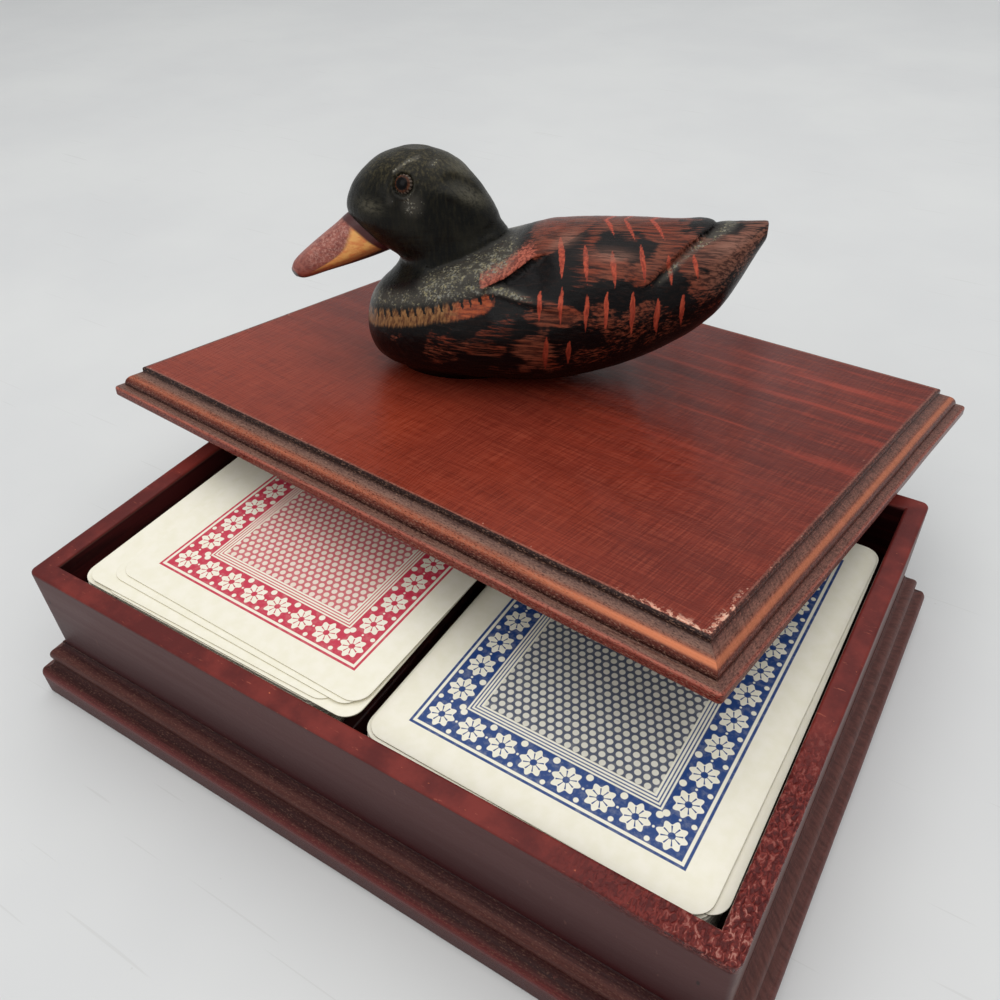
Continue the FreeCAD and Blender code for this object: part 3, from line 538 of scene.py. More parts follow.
def lid_material():
    n = Nodes("lid_wood")
    band, ends = n.attr("band"), n.attr("end")
    x, y, _ = n.xyz(n.mm())
    x, y = x + LID_LENGTH / 2, y + LID_DEPTH / 2
    place = band / LID_SPAN
    edge, grain, grit = stain_and_painted_light(n, band, ends, (0.55, 0.42, 0.40), LID_BANDS, LID_SPAN, 0.75)
    # Painted highlight on the beads, growing towards the right end.
    painted_bead_highlight = n.ramp(place, 0.50, 0.56) * n.ramp(place, 0.66, 0.60)
    painted_bead_highlight = painted_bead_highlight * n.ramp(x, 112.0, 150.0, 0.0, 0.75)
    edge = n.mix(painted_bead_highlight, edge, (224, 134, 92))
    side = n.blend(grain, 0.40, 0.62, (134, 72, 62), (92, 50, 43))
    side = n.lay(side, grit, 0.60, 0.50, 0.6, (60, 36, 31))
    edge = n.mix(ends * 0.45, edge, side)
    # Top face: woven scratches both ways, streaks along the length, broad changes of tone.
    weave = n.streaks((0.10, 3.4, 1.0), 3.0, 0.65) + n.streaks((3.4, 0.10, 1.0), 3.0, 0.65)
    streak = n.streaks((0.012, 0.16, 1.0), 4.0, 0.6)
    color = n.blend(streak, 0.35, 0.65, (94, 32, 24), (128, 47, 33))
    warm = n.ramp(y, 90.0, 20.0) * n.ramp(x, 170.0, 80.0, 0.35, 1.0)
    color = n.mix(warm * 0.7, color, (150, 56, 33))
    color = n.lay(color, n.spots(0.022, 2.0, 0.5), 0.4, 0.7, 0.4, (96, 38, 34))
    color = n.lay(color, weave, 1.00, 1.24, 0.34, (176, 88, 64))
    color = n.lay(color, weave, 1.02, 0.78, 0.42, (66, 18, 14))
    swept = n.streaks((0.016, 0.30, 1.0), 4.0, 0.62, (0, 0, -0.12))
    far = n.ramp(x, 50.0, 110.0) * n.ramp(y, 35.0, 80.0)
    color = n.mix(far * n.ramp(swept, 0.42, 0.58, 0.45, 0.0), color, (82, 36, 33))
    color = n.mix(far * n.ramp(swept, 0.54, 0.66, 0.0, 0.5), color, (168, 66, 50))
    dull = n.ramp(x, 80.0, 20.0) * n.ramp(y, 40.0, 85.0, 0.0, 0.60)
    color = n.mix(dull, color, (78, 32, 28))
    color = n.mix(n.ramp(place, 0.985, 1.0), edge, color)
    # Chips along the top arris, thickest at the near right corner.
    chipped_x, chipped_y, arris_in = 153.0, 6.2, 5.2
    near = n.ramp(n.hypot(x - chipped_x, y - chipped_y), 26.0, 3.0)
    from_sides = n.least(x - arris_in, LID_LENGTH - arris_in - x)
    from_ends = n.least(y - arris_in, LID_DEPTH - arris_in - y)
    arris = n.ramp(place, 0.935, 0.965) * n.ramp(n.least(from_ends, from_sides), 2.6, 0.5)
    chip = n.spots(0.75, 4.0, 0.7) + near * 0.17
    bare = arris * n.ramp(chip, 0.66, 0.70)
    color = n.mix(bare, color, n.blend(grit, 0.4, 0.6, (226, 150, 124), (240, 196, 172)))
    height = weave * 0.5 + grit * 0.35
    normal = n.bump(height - bare * 0.9, 0.55, 0.00009)
    rough = n.ramp(grit + weave * 0.5, 0.7, 1.3, 0.22, 0.36)
    return n.shade(color, rough, 0.17, normal)


def plinth_material():
    n = Nodes("plinth_wood")
    band, ends = n.attr("band"), n.attr("end")
    color, grain, grit = stain_and_painted_light(
        n, band, ends, (0.60, 0.50, 0.52), PLINTH_BANDS, PLINTH_SPAN, 0.28, seed=20.0)
    side = n.blend(grain, 0.3, 0.7, (116, 76, 70), (88, 58, 54))
    color = n.mix(ends * 0.62, color, side)
    color = n.lay(color, n.spots(0.16, 5.0, 0.75), 0.66, 0.72, 0.6, (120, 60, 52))
    normal = n.bump(grit * 0.6 + grain * 1.1, 0.5, 0.00012)
    return n.shade(color, n.ramp(grit, 0.3, 0.7, 0.34, 0.5), 0.14, normal)


def wall_material():
    n = Nodes("stained_wood")
    band, ends = n.attr("band"), n.attr("end")
    x, y, z = n.xyz(n.mm())
    level = z - PLINTH_HEIGHT
    front, front_inside = -BOX_DEPTH / 2, WALL_THICK - BOX_DEPTH / 2
    end_inside = BOX_LENGTH / 2 - WALL_THICK
    face = n.streaks((0.03, 0.03, 0.5), 5.0, 0.6)
    outer = n.blend(level, 1.0, 17.0, (52, 12, 14), (78, 41, 40))
    outer = n.lay(outer, face, 0.40, 0.75, 0.15, (60, 28, 29))
    outer = n.mix(ends, outer, n.blend(face, 0.3, 0.7, (102, 66, 60), (84, 52, 48)))
    hair = n.streaks((1.1, 1.1, 0.35), 2.0, 0.5, (0.0, 0.5, 0.6))
    outer = n.lay(outer, hair, 0.72, 0.75, 0.3, (122, 84, 74))
    rim = n.blend(n.spots(0.10, 4.0, 0.6), 0.35, 0.65, (92, 34, 32), (124, 48, 42))
    scratch = n.streaks((0.35, 2.0, 1.0), 3.0, 0.6, (0.0, 0.0, 0.5))
    rim = n.lay(rim, scratch, 0.66, 0.74, 0.55, (182, 98, 78))
    rim = n.lay(rim, n.spots(0.9, 2.0, 0.6), 0.72, 0.76, 0.8, (206, 112, 78))
    inside = n.blend(face, 0.4, 0.6, (74, 22, 24), (46, 12, 15))
    color = n.mix(n.ramp(band, INNER_FACE, INNER_FACE + 0.4), outer, inside)
    color = n.mix(n.ramp(level, WALL_HEIGHT - 0.6, WALL_HEIGHT - 0.3), color, rim)
    # Thick crinkled varnish at the near right corner and along the first part of the end rim; its wrinkle
    # crests carry painted highlights.
    along_end = n.ramp(y, -4.0, -30.0) * n.ramp(x, end_inside - 1.3, end_inside - 0.2)
    along_front = n.ramp(x, 36.0, 74.0) * n.ramp(y, front_inside + 0.95, front_inside + 0.15)
    thick = n.math("ADD", along_end, along_front, clamp=True)
    thick = thick * n.ramp(level, WALL_HEIGHT - 2.6, WALL_HEIGHT - 0.8)
    wrinkle = n.noise(n.move(n.mm(), (1.0, 0.6, 1.0), (0, 0, 0.6)), 1.5, 2.5, 0.55, 0.8)
    crinkle_and_highlight = n.blend(wrinkle, 0.40, 0.60, (70, 20, 20), (124, 46, 40))
    # Painted highlight on the wrinkle crests, strongest at the corner.
    tip = n.ramp(x, 58.0, 72.0) * n.ramp(y, -38.0, -50.0, 0.30, 0.80)
    crinkle_and_highlight = n.mix(tip * n.ramp(wrinkle, 0.56, 0.68), crinkle_and_highlight, (196, 138, 124))
    color = n.mix(thick * 0.85, color, crinkle_and_highlight)
    # Filled brad marks on the front face near its ends.
    for at_x, at_z in ((-72.1, 28.2), (70.2, 25.9)):
        from_mark = n.hypot((x - at_x) * 2.2, z - at_z)
        here = n.ramp(from_mark, 0.75, 0.45) * n.ramp(y, front + 0.45, front + 0.15)
        color = n.mix(here * 0.85, color, (22, 10, 12))
    lump = n.add("TexVoronoi", {
        "Vector": n.move(n.mm(), (1.0, 0.62, 1.0), (0, 0, 0.5)), "Scale": 1.5, "Smoothness": 0.6,
    }, feature="SMOOTH_F1")
    swell = thick * (wrinkle * 2.0 + lump * 0.7)
    normal = n.bump(n.spots(1.5, 3.0, 0.6) * 0.12 + swell, 0.8, 0.00030)
    rough = n.mix(thick, n.ramp(face, 0.3, 0.7, 0.37, 0.42), 0.22)
    return n.shade(color, rough, 0.16, normal)


def plain_wood(name, dark, light, rough=0.45):
    n = Nodes(name)
    color = n.blend(n.streaks((0.03, 0.4, 0.4), 4.0, 0.6), 0.35, 0.65, dark, light)
    return n.shade(color, rough, 0.35, n.bump(n.spots(1.6, 2.0, 0.6), 0.3, 0.00008))


def metal(name, tone, rough):
    n = Nodes(name)
    fine = n.spots(2.5, 3.0, 0.6)
    color = n.blend(fine, 0.35, 0.7, tone, n.tinted(srgb(*tone), (0.55, 0.55, 0.55)))
    return n.shade(color, n.ramp(fine, 0.3, 0.7, rough, rough + 0.2), metallic=0.9)


# ------------------------------ box
HERE = Matrix.Identity(4)
plinth = moulded("plinth_shown", Plan(PLINTH_LENGTH, PLINTH_DEPTH, corner=1.2), PLINTH_EDGE,
                 plinth_material(), HERE, wave=0.10, seed=3)
walls = moulded("walls_shown", Plan(BOX_LENGTH, BOX_DEPTH, corner=1.6, step=1.5),
                WALL_EDGE + [0.0, PLINTH_HEIGHT], wall_material(), HERE, wave=0.05, seed=5,
                top=False, bottom=False)
divider = moulded("divider_shown", Plan(DIVIDER_THICK, DIVIDER_LENGTH, corner=0.2, step=4.0), DIVIDER_EDGE,
                  plain_wood("inner_wood", (40, 10, 14), (62, 18, 20), 0.4),
                  move_mm(0, 0, PLINTH_HEIGHT), bottom=False)
lid = moulded("lid_shown", Plan(LID_LENGTH, LID_DEPTH, corner=0.9), LID_EDGE, lid_material(),
              LID_MIDDLE, wave=0.08, seed=9)
stand_for(plinth, "box", ["base_plinth"])
stand_for(walls, "box", ["front_wall", "back_wall", "left_wall", "right_wall"])
stand_for(divider, "box", ["divider"])
stand_for(lid, "lid", ["lid_board"])

# ------------------------------ duck
# Duck frame: X from bill to tail, Z up from the lid's top. Sections of the body are place, middle's
# height, half width and half height; of the head height, middle, half length and half width; of the
# bill place, height, half width and half height.
BODY = np.array([
    (-37.4, 11.6, 2.2, 2.0), (-36.0, 11.4, 7.6, 6.2), (-31.0, 12.0, 14.4, 10.4), (-22.0, 14.0, 19.0, 13.6),
    (-8.0, 15.7, 21.5, 15.5), (6.0, 17.8, 21.5, 16.9), (20.0, 20.4, 18.5, 15.6), (32.0, 23.6, 13.2, 13.0),
    (41.5, 27.8, 9.2, 9.1), (49.3, 35.8, 2.0, 1.9),
])
HEAD = np.array([
    (20.0, -17.0, 12.0, 9.0), (25.0, -17.4, 11.9, 9.0), (30.0, -21.2, 15.2, 10.2), (35.0, -24.2, 17.0, 10.8),
    (40.0, -25.2, 14.9, 10.6), (44.0, -25.4, 11.6, 9.2), (47.0, -25.4, 7.6, 6.4), (48.6, -25.4, 3.0, 2.6),
])
BILL = np.array([
    (-30.0, 33.8, 5.4, 6.2), (-36.5, 30.9, 6.3, 6.0), (-42.0, 27.6, 6.4, 5.0), (-49.0, 23.6, 6.0, 3.6),
    (-53.3, 20.9, 4.8, 2.6), (-55.2, 19.6, 2.4, 1.5),
])
BILL_TILT = math.radians(33)
EYE, EYE_OUT, EYE_RADIUS, EYE_BULGE = (-25.7, 43.0), 8.95, 2.05, 1.25
# Lines of the carving in side view.
SHOULDER = np.array([(-8.5, 24.6), (-3.0, 27.0), (2.0, 30.4), (7.0, 32.6)])
FLANK = np.array([(-12.0, 25.2), (-7.4, 24.6), (-3.3, 24.8), (1.5, 24.3), (9.5, 23.4), (15.0, 23.0)])
COLLAR = np.array([(-23.0, 24.0), (-17.7, 26.3), (-14.6, 27.6), (-8.6, 30.0), (-3.3, 32.2), (0.0, 33.4)])
STERN = np.array([(24.0, 25.6), (27.8, 28.7), (30.4, 31.2), (33.1, 33.6), (35.8, 35.4), (41.5, 38.2)])
BROW = np.array([(-18.5, 44.6), (-14.9, 43.1), (-12.5, 42.0), (-9.8, 39.6)])
CROWN = np.array([(-28.0, 45.2), (-25.6, 47.0), (-23.5, 47.6)])
NECK_LINE = np.array([(-17.2, 20.9), (-15.3, 24.2), (-13.1, 25.7), (-9.8, 26.7)])
# Middles of the worn rusty places and of the black places between them.
RUST = [
    (-2.6, 14.5), (3.7, 13.8), (9.6, 21.9), (16.0, 12.3), (21.8, 18.5), (24.6, 30.0), (16.7, 29.9),
    (9.2, 26.4), (13.3, 34.9), (34.1, 33.2), (41.0, 34.1), (37.1, 25.9), (3.5, 33.6), (9.6, 35.1),
    (43.4, 31.1), (28.0, 22.5), (5.5, 32.0), (13.0, 31.5), (20.0, 36.6), (27.5, 36.2),
]
BLACK = [
    (23.7, 33.2), (19.1, 26.6), (23.3, 24.7), (15.8, 34.0), (5.5, 29.3), (32.3, 24.0), (1.6, 18.3),
    (11.4, 24.8), (39.2, 36.0), (13.6, 17.5), (30.0, 27.0),
]
# Rubbed places on the body, and painted highlights on the head's ridges and above the bill: middle, half
# length and height, slope.
WEAR_AND_SHEEN = [
    ((-15.5, 45.2), (2.6, 1.0), -0.65), ((-12.2, 40.2), (3.0, 1.3), -0.55), ((-33.5, 38.0), (3.0, 1.6), 0.0),
    ((18.6, 32.0), (4.5, 0.9), 0.0), ((42.0, 34.0), (4.0, 1.2), 0.25), ((8.5, 33.6), (2.6, 0.8), 0.3),
]
# Rows of painted dashes: first place, pitch, count, then the angles round the body where the
# first and last begin and where they end, and the lean.
DASHES = [
    (14.6, 5.1, 3, 96, 96, 62, 52, 0.110), (7.4, 5.45, 6, 65, 46, 31, 12, 0.055),
    (4.6, 4.8, 7, 33, 8, 8, -34, 0.010), (7.5, 3.8, 2, -3, -4, -38, -30, -0.012),
]


def monotone(x, y, at):
    """Smooth curve through the points that never overshoots them."""
    gap = np.diff(x)
    rise = np.diff(y) / gap
    slope = np.concatenate([[rise[0]], np.zeros(len(x) - 2), [rise[-1]]])
    for i in range(1, len(x) - 1):
        if rise[i - 1] * rise[i] > 0:
            first, second = 2 * gap[i] + gap[i - 1], gap[i] + 2 * gap[i - 1]
            slope[i] = (first + second) / (first / rise[i - 1] + second / rise[i])
    k = np.clip(np.searchsorted(x, at) - 1, 0, len(x) - 2)
    t = (at - x[k]) / gap[k]
    near, near_lean = 2 * t ** 3 - 3 * t ** 2 + 1, t ** 3 - 2 * t ** 2 + t
    far, far_lean = 3 * t ** 2 - 2 * t ** 3, t ** 3 - t ** 2
    return near * y[k] + near_lean * gap[k] * slope[k] + far * y[k + 1] + far_lean * gap[k] * slope[k + 1]


def section_at(sections, at):
    """Middle and two half sizes of a row of sections."""
    return [monotone(sections[:, 0], sections[:, k], at) for k in (1, 2, 3)]


def ease(low, high, value):
    """Smooth climb from 0 at low to 1 at high."""
    return smooth_step(np.clip((value - low) / (high - low), 0, 1))


def hump(value, width):
    """Bell of height 1 round nought."""
    return np.exp(-((value / width) ** 2))


def near_line(x, z, line):
    """Distance to a line in side view, the same with its sign plus on the right, and place along it."""
    best = np.full(x.shape, 1e9)
    sign, along = np.zeros(x.shape), np.zeros(x.shape)
    steps = np.hypot(*np.diff(line, axis=0).T)
    done = 0.0
    for (ax, az), (bx, bz), step in zip(line[:-1], line[1:], steps):
        ux, uz = (bx - ax) / step, (bz - az) / step
        t = np.clip((x - ax) * ux + (z - az) * uz, 0, step)
        dx, dz = x - ax - t * ux, z - az - t * uz
        away = np.hypot(dx, dz)
        nearer = away < best
        best = np.where(nearer, away, best)
        sign = np.where(nearer, np.sign(dx * uz - dz * ux), sign)
        along = np.where(nearer, (done + t) / steps.sum(), along)
        done += step
    return best, best * sign, along


def body_at(x):
    return section_at(BODY, np.clip(x, BODY[0, 0], BODY[-1, 0]))


def body_field(p):
    mid, wide, tall = body_at(p[:, 0])
    return (np.hypot(p[:, 1] / wide, (p[:, 2] - mid) / tall) - 1) * np.minimum(wide, tall)


def head_field(p):
    mid, long, wide = section_at(HEAD, np.clip(p[:, 2], HEAD[0, 0], HEAD[-1, 0]))
    return (np.hypot((p[:, 0] - mid) / long, p[:, 1] / wide) - 1) * np.minimum(long, wide)


def carving(p):
    """How far the knife went in at each point."""
    x, z = p[:, 0], p[:, 2]
    # Shoulder: a step with a raised lip.
    _, side, t = near_line(x, z, SHOULDER)
    cut = 1.15 * ease(-0.3, 0.9, side) * hump(side, 5.5) * ease(0.0, 0.12, t) * ease(1.0, 0.7, t)
    cut -= 0.35 * hump(side + 0.9, 1.2) * ease(0.0, 0.1, t) * ease(1.0, 0.8, t)
    # Flank: a ridge. Collar: a groove with a ridge under it.
    away, _, t = near_line(x, z, FLANK)
    cut -= 0.75 * hump(away, 1.1) * ease(0.0, 0.2, t) * ease(1.0, 0.55, t)
    away, side, t = near_line(x, z, COLLAR)
    cut += (0.55 * hump(away, 1.2) - 0.35 * hump(side - 2.2, 1.2)) * ease(0.0, 0.15, t) * ease(1.0, 0.8, t)
    # Stern: a step with a raised lip.
    _, side, t = near_line(x, z, STERN)
    cut += 1.2 * ease(-0.2, 0.6, side) * hump(side, 3.4) * ease(0.0, 0.25, t) * ease(0.98, 0.66, t)
    cut -= 0.4 * hump(side + 0.9, 1.1) * ease(0.0, 0.25, t) * ease(0.98, 0.7, t)
    # Brow: a groove between two ridges, away from the middle of the head.
    away, side, t = near_line(x, z, BROW)
    fade = ease(0.0, 0.3, t) * ease(1.0, 0.75, t) * ease(1.5, 5.0, np.abs(p[:, 1]))
    cut += (0.95 * hump(away, 1.0) - 0.45 * hump(side - 2.1, 1.2) - 0.35 * hump(side + 2.2, 1.3)) * fade
    # Eye: a socket inside a notched rim.
    ring = np.hypot(x - EYE[0], z - EYE[1])
    notch = 1 + 0.35 * np.cos(18 * np.arctan2(z - EYE[1], x - EYE[0]))
    cut += 0.6 * ease(2.35, 1.95, ring) - 0.38 * hump(ring - 2.5, 0.38) * notch
    return cut + 0.10 * noise2(x / 4.0, z / 3.0, 4) + 0.05 * noise2(x / 1.1, z / 0.8, 6)


def surface(p):
    """Below nought inside the carved duck, which blends head and body."""
    reach = 3.6
    body = body_field(p) + 30.0 * ease(BODY[-1, 0], BODY[-1, 0] + 2, p[:, 0])
    head = head_field(p)
    h = np.clip(0.5 + 0.5 * (head - body) / reach, 0, 1)
    return head * (1 - h) + body * h - reach * h * (1 - h) + carving(p)


def remeshed(parts, grain):
    """One even skin round several overlapping skins."""
    points, faces = joined(parts)
    rough = mesh_object("rough", points, faces, [], scale=1.0)
    skin = rough.modifiers.new("skin", "REMESH")
    skin.mode = "VOXEL"
    skin.voxel_size = grain
    ready = rough.evaluated_get(bpy.context.evaluated_depsgraph_get()).to_mesh()
    points = np.zeros(len(ready.vertices) * 3)
    ready.vertices.foreach_get("co", points)
    faces = [tuple(face.vertices) for face in ready.polygons]
    bpy.data.objects.remove(rough)
    return points.reshape(-1, 3), faces


def carved_duck():
    """Body and head lofts joined in one skin, which is then pushed onto the carved surface."""
    sides, body_count, head_count = 48, 80, 60
    grain = 0.34
    turns = np.linspace(0, 2 * math.pi, sides, endpoint=False)
    body_rings, head_rings = [], []
    for x in np.linspace(BODY[0, 0], BODY[-1, 0], body_count):
        mid, wide, tall = section_at(BODY, np.array([x]))
        body_rings.append(
            np.column_stack([np.full(sides, x), wide * np.cos(turns), mid + tall * np.sin(turns)]))
    for z in np.linspace(HEAD[0, 0], HEAD[-1, 0], head_count):
        mid, long, wide = section_at(HEAD, np.array([z]))
        head_rings.append(
            np.column_stack([mid + long * np.cos(turns), wide * np.sin(turns), np.full(sides, z)]))
    skin, faces = remeshed([tube(body_rings), tube(head_rings)], grain)
    # The flat ends of breast, tail and crown keep their place.
    free = ease(-37.2, -36.4, skin[:, 0]) * ease(49.0, 48.2, skin[:, 0]) * ease(48.5, 47.6, skin[:, 2])
    probe, furthest = 0.05, 0.9
    for _ in range(4):
        here = surface(skin)
        slope = np.column_stack([
            (surface(skin + step) - surface(skin - step)) / (2 * probe) for step in np.eye(3) * probe
        ])
        push = here[:, None] * slope / np.maximum((slope ** 2).sum(1, keepdims=True), 0.2)
        size = np.hypot(np.hypot(push[:, 0], push[:, 1]), push[:, 2])
        push *= np.minimum(1.0, furthest / np.maximum(size, 1e-9))[:, None]
        skin = skin - push * free[:, None]
    # The lower body sinks with the duck and ends flat on the lid.
    skin[:, 2] = np.maximum(skin[:, 2] - DUCK_SINK * ease(30, 10, skin[:, 2]), -0.02)
    return skin, faces


def paint(p):
    """Where each colour lies on the carving, 0 to 1."""
    x, y, z = p.T
    mid, wide, tall = body_at(x)
    round_about = np.degrees(np.arctan2((z - mid) / tall, np.abs(y) / wide))
    _, under_collar, _ = near_line(x, z, COLLAR)
    _, shoulder, shoulder_t = near_line(x, z, SHOULDER)
    flank_away, flank, flank_t = near_line(x, z, FLANK)
    _, stern, stern_t = near_line(x, z, STERN)
    head = np.maximum(
        ease(0.6, -0.6, under_collar) * ease(2.0, -1.0, x), ease(27.0, 30.0, z) * ease(-19.0, -24.0, x))
    # Gold band that climbs across the breast, cut into ticks along its upper side.
    band_x, band_z, band_slope, tick_pitch = -31.6, 15.2, 0.29, 2.05
    lift = z - (band_z + band_slope * (x - band_x))
    tick = 0.5 + 0.5 * np.cos(2 * math.pi * (x + 0.35 * lift + 0.5 * noise1(x / 3.0, 2)) / tick_pitch)
    ticked = 0.12 + 0.88 * ease(0.04, 0.26, tick + ease(0.3, -1.6, lift))
    gold = hump(lift + 0.3, 1.9) * ease(-3.0, -6.5, x) * ticked
    # Pale dust: under the collar, over the gold band, along flank and stern, then on head and neck. Along the
    # flank and stern ridges it is partly painted highlight.
    pale = np.max([
        0.85 * hump(under_collar - 2.0, 2.6) * ease(-26, -20, x) * ease(2, -4, x),
        0.75 * hump(lift - 3.2, 2.0) * ease(-4.0, -9.0, x),
        0.95 * hump(flank_away, 0.9) * ease(0.02, 0.15, flank_t) * ease(0.75, 0.4, flank_t),
        0.8 * hump(stern - 1.4, 0.9) * ease(0.1, 0.3, stern_t),
        0.7 * hump(np.hypot(x + 23.6, z - 39.3), 3.0),
        0.8 * hump(near_line(x, z, CROWN)[0], 0.45),
        0.6 * hump(np.hypot((x + 20.2) * 0.6, z - 46.6), 0.9),
        0.7 * hump(near_line(x, z, NECK_LINE)[0], 0.6),
        0.5 * hump(np.hypot(x + 28.6, z - 39.8), 1.6),
    ], axis=0)
    # Rubbed places on the body and painted highlights on the head.
    sheen = np.zeros(len(p))
    for (at_x, at_z), (long, high), lean in WEAR_AND_SHEEN:
        along, rise = x - at_x, z - at_z - lean * (x - at_x)
        sheen = np.maximum(sheen, np.exp(-((along / long) ** 2) - (rise / high) ** 2))
    lobe = ease(0.4, -0.4, shoulder) * hump(shoulder + 0.9, 1.9)
    lobe *= ease(0.0, 0.1, shoulder_t) * ease(0.95, 0.55, shoulder_t)
    # Rust shows in patches aft, in a swirl on the breast and over the shoulder.
    patch_long, patch_high = 3.6, 1.9
    patch = 0.70 * noise2(x * 0.35, round_about * 0.10, 11, 3) + 0.36
    for places, weight in ((RUST, 1.0), (BLACK, -1.05)):
        for at_x, at_z in places:
            along, rise = (x - at_x) / patch_long, (z - at_z) / patch_high
            patch = patch + weight * np.exp(-(along ** 2) - rise ** 2)
    aft = ease(-3.0, 4.0, x)
    rust = ease(-0.25, 0.75, patch) * aft * ease(-48, -30, round_about)
    rust = rust * (1 - 0.5 * ease(12, -8, round_about) * ease(5.0, 12.0, x))
    swirl = np.hypot(x + 4.0, (z - 15.4) * 1.3)
    breast = ease(0.0, 0.5, noise2(x * 0.22, z * 0.3, 15, 2) * 1.4 + 0.6 * hump(swirl - 3.0, 2.2))
    breast = breast * ease(-2.0, -4.0, lift) * (1 - aft) * ease(4.0, 9.0, z)
    over_shoulder = ease(0.3, -0.3, shoulder) * ease(-8.0, -5.0, x) * ease(9.0, 3.0, x) * ease(31.5, 27.0, z)
    rust = np.max([rust, 0.46 * breast, over_shoulder], axis=0)
    # The hollow between shoulder and flank stays black.
    recess = ease(0.1, 0.9, shoulder) * ease(-0.2, -1.0, flank) * ease(18.0, 8.0, x) * ease(-9.5, -7.5, x)
    dash = np.zeros(len(p))
    pick = np.random.default_rng(5)
    for start, pitch, count, top_a, top_b, low_a, low_b, lean in DASHES:
        for i in range(count):
            part = i / max(1, count - 1)
            shift, grow = pick.uniform(-0.6, 0.6), pick.uniform(-5, 5)
            top = top_a + (top_b - top_a) * part + grow
            low = low_a + (low_b - low_a) * part + grow * 0.5
            down = (top - round_about) / (top - low)
            centre = start + pitch * i + shift + lean * (top - round_about)
            half = pick.uniform(0.50, 0.72) * np.sin(np.pi * np.clip(down, 0, 1) ** 0.75)
            wobble = 0.18 * noise1(round_about / 9.0, 40 + i)
            mark = ease(half + 0.10, half - 0.22, np.abs(x - centre + wobble)) * pick.uniform(0.62, 1.0)
            dash = np.maximum(dash, mark)
    return {
        "head": head, "gold": gold, "pale": pale, "sheen": sheen, "lobe": lobe,
        "rust": rust * (1 - recess) * (1 - head), "dash": dash * (1 - head),
    }


def duck_material():
    n = Nodes("duck_paint")
    x, _, z = n.xyz(n.mm())
    brush = n.streaks((0.14, 2.0, 2.0), 4.0, 0.68, (0.0, 0.10, 0.0))
    brush_up = n.streaks((1.7, 1.7, 0.22), 4.0, 0.65)
    dust = n.spots(1.9, 3.0, 0.75)
    broad = n.spots(0.12, 3.0, 0.55)

    def worn(color, mask, texture, amount, low, high, tone, most=1.0):
        """The tone laid where a mask lies, with an edge broken up by a texture."""
        ragged = n.attr(mask) + (texture - 0.5) * amount
        return n.lay(color, ragged, low, high, most, tone)

    base = n.blend(brush, 0.45, 0.75, (7, 5, 6), (30, 17, 14))
    rust = n.blend(brush, 0.36, 0.68, (60, 27, 19), (138, 62, 40))
    faded = n.blend(brush, 0.4, 0.6, (66, 34, 26), (124, 74, 56))
    rust = n.lay(rust, broad, 0.38, 0.6, 0.6, faded)
    tail = n.ramp(x, 30.0, 42.0, 0.0, 0.6) * n.ramp(z, 20.0, 30.0)
    rust = n.mix(tail, rust, n.blend(brush, 0.4, 0.6, (60, 40, 34), (124, 90, 76)))
    color = worn(base, "rust", brush, 1.7, 0.30, 0.86, rust, 0.94)
    gold = n.blend(brush_up, 0.35, 0.65, (78, 43, 24), (144, 102, 62))
    orange = n.blend(brush, 0.4, 0.6, (114, 44, 28), (170, 78, 44))
    gold = n.lay(gold, x, -16.0, -10.0, 0.85, orange)
    color = worn(color, "gold", brush_up, 0.6, 0.3, 0.7, gold)
    lobe = n.blend(brush_up, 0.4, 0.6, (114, 50, 39), (182, 98, 78))
    color = worn(color, "lobe", brush_up, 0.8, 0.35, 0.7, lobe)
    dash = n.blend(brush_up, 0.35, 0.65, (136, 50, 36), (184, 80, 56))
    # Dashes darker low on the body: painted shade.
    dash = n.lay(dash, z, 24.0, 12.0, 0.65, (112, 40, 28))
    color = worn(color, "dash", dust, 0.6, 0.25, 0.7, dash)
    stroke = n.streaks((1.6, 1.6, 0.30), 4.0, 0.65, (0.0, -0.5, 0.0))
    green = n.blend(stroke, 0.40, 0.80, (8, 8, 6), (32, 29, 19))
    # Olive strokes paler towards the top of the head: paint with a painted highlight over the crown.
    crown = n.ramp(z, 40.0, 47.0) * n.ramp(stroke, 0.45, 0.7, 0.1, 0.75)
    green = n.mix(crown, green, (84, 76, 52))
    green = n.lay(green, broad, 0.45, 0.7, 0.4, (42, 40, 32))
    on_head = n.attr("head")
    color = n.mix(on_head, color, green)
    # Paler rubbed places on the body, and painted highlights on the head, from one mask.
    wear_and_sheen_tone = n.mix(on_head, (150, 106, 90), (92, 88, 74))
    color = n.mix(n.attr("sheen") * n.ramp(brush, 0.32, 0.60, 0.15, 0.75), color, wear_and_sheen_tone)
    # Pale dust as specks and a grey haze; along the flank and stern ridges it is partly painted highlight.
    pale = n.attr("pale")
    speck = n.ramp(pale * 0.34 + dust, 0.72, 0.86) * n.ramp(pale, 0.05, 0.6)
    speck = speck * n.ramp(n.spots(0.55, 3.0, 0.6), 0.40, 0.58)
    color = n.mix(speck, color, n.blend(brush_up, 0.4, 0.6, (150, 150, 142), (176, 164, 118)))
    color = n.mix(n.ramp(pale, 0.15, 0.9) * 0.46, color, (98, 94, 86))
    normal = n.bump(brush * 0.6 + dust * 0.4, 0.55, 0.00022)
    return n.shade(color, n.ramp(dust, 0.3, 0.7, 0.26, 0.40), 0.13, normal)


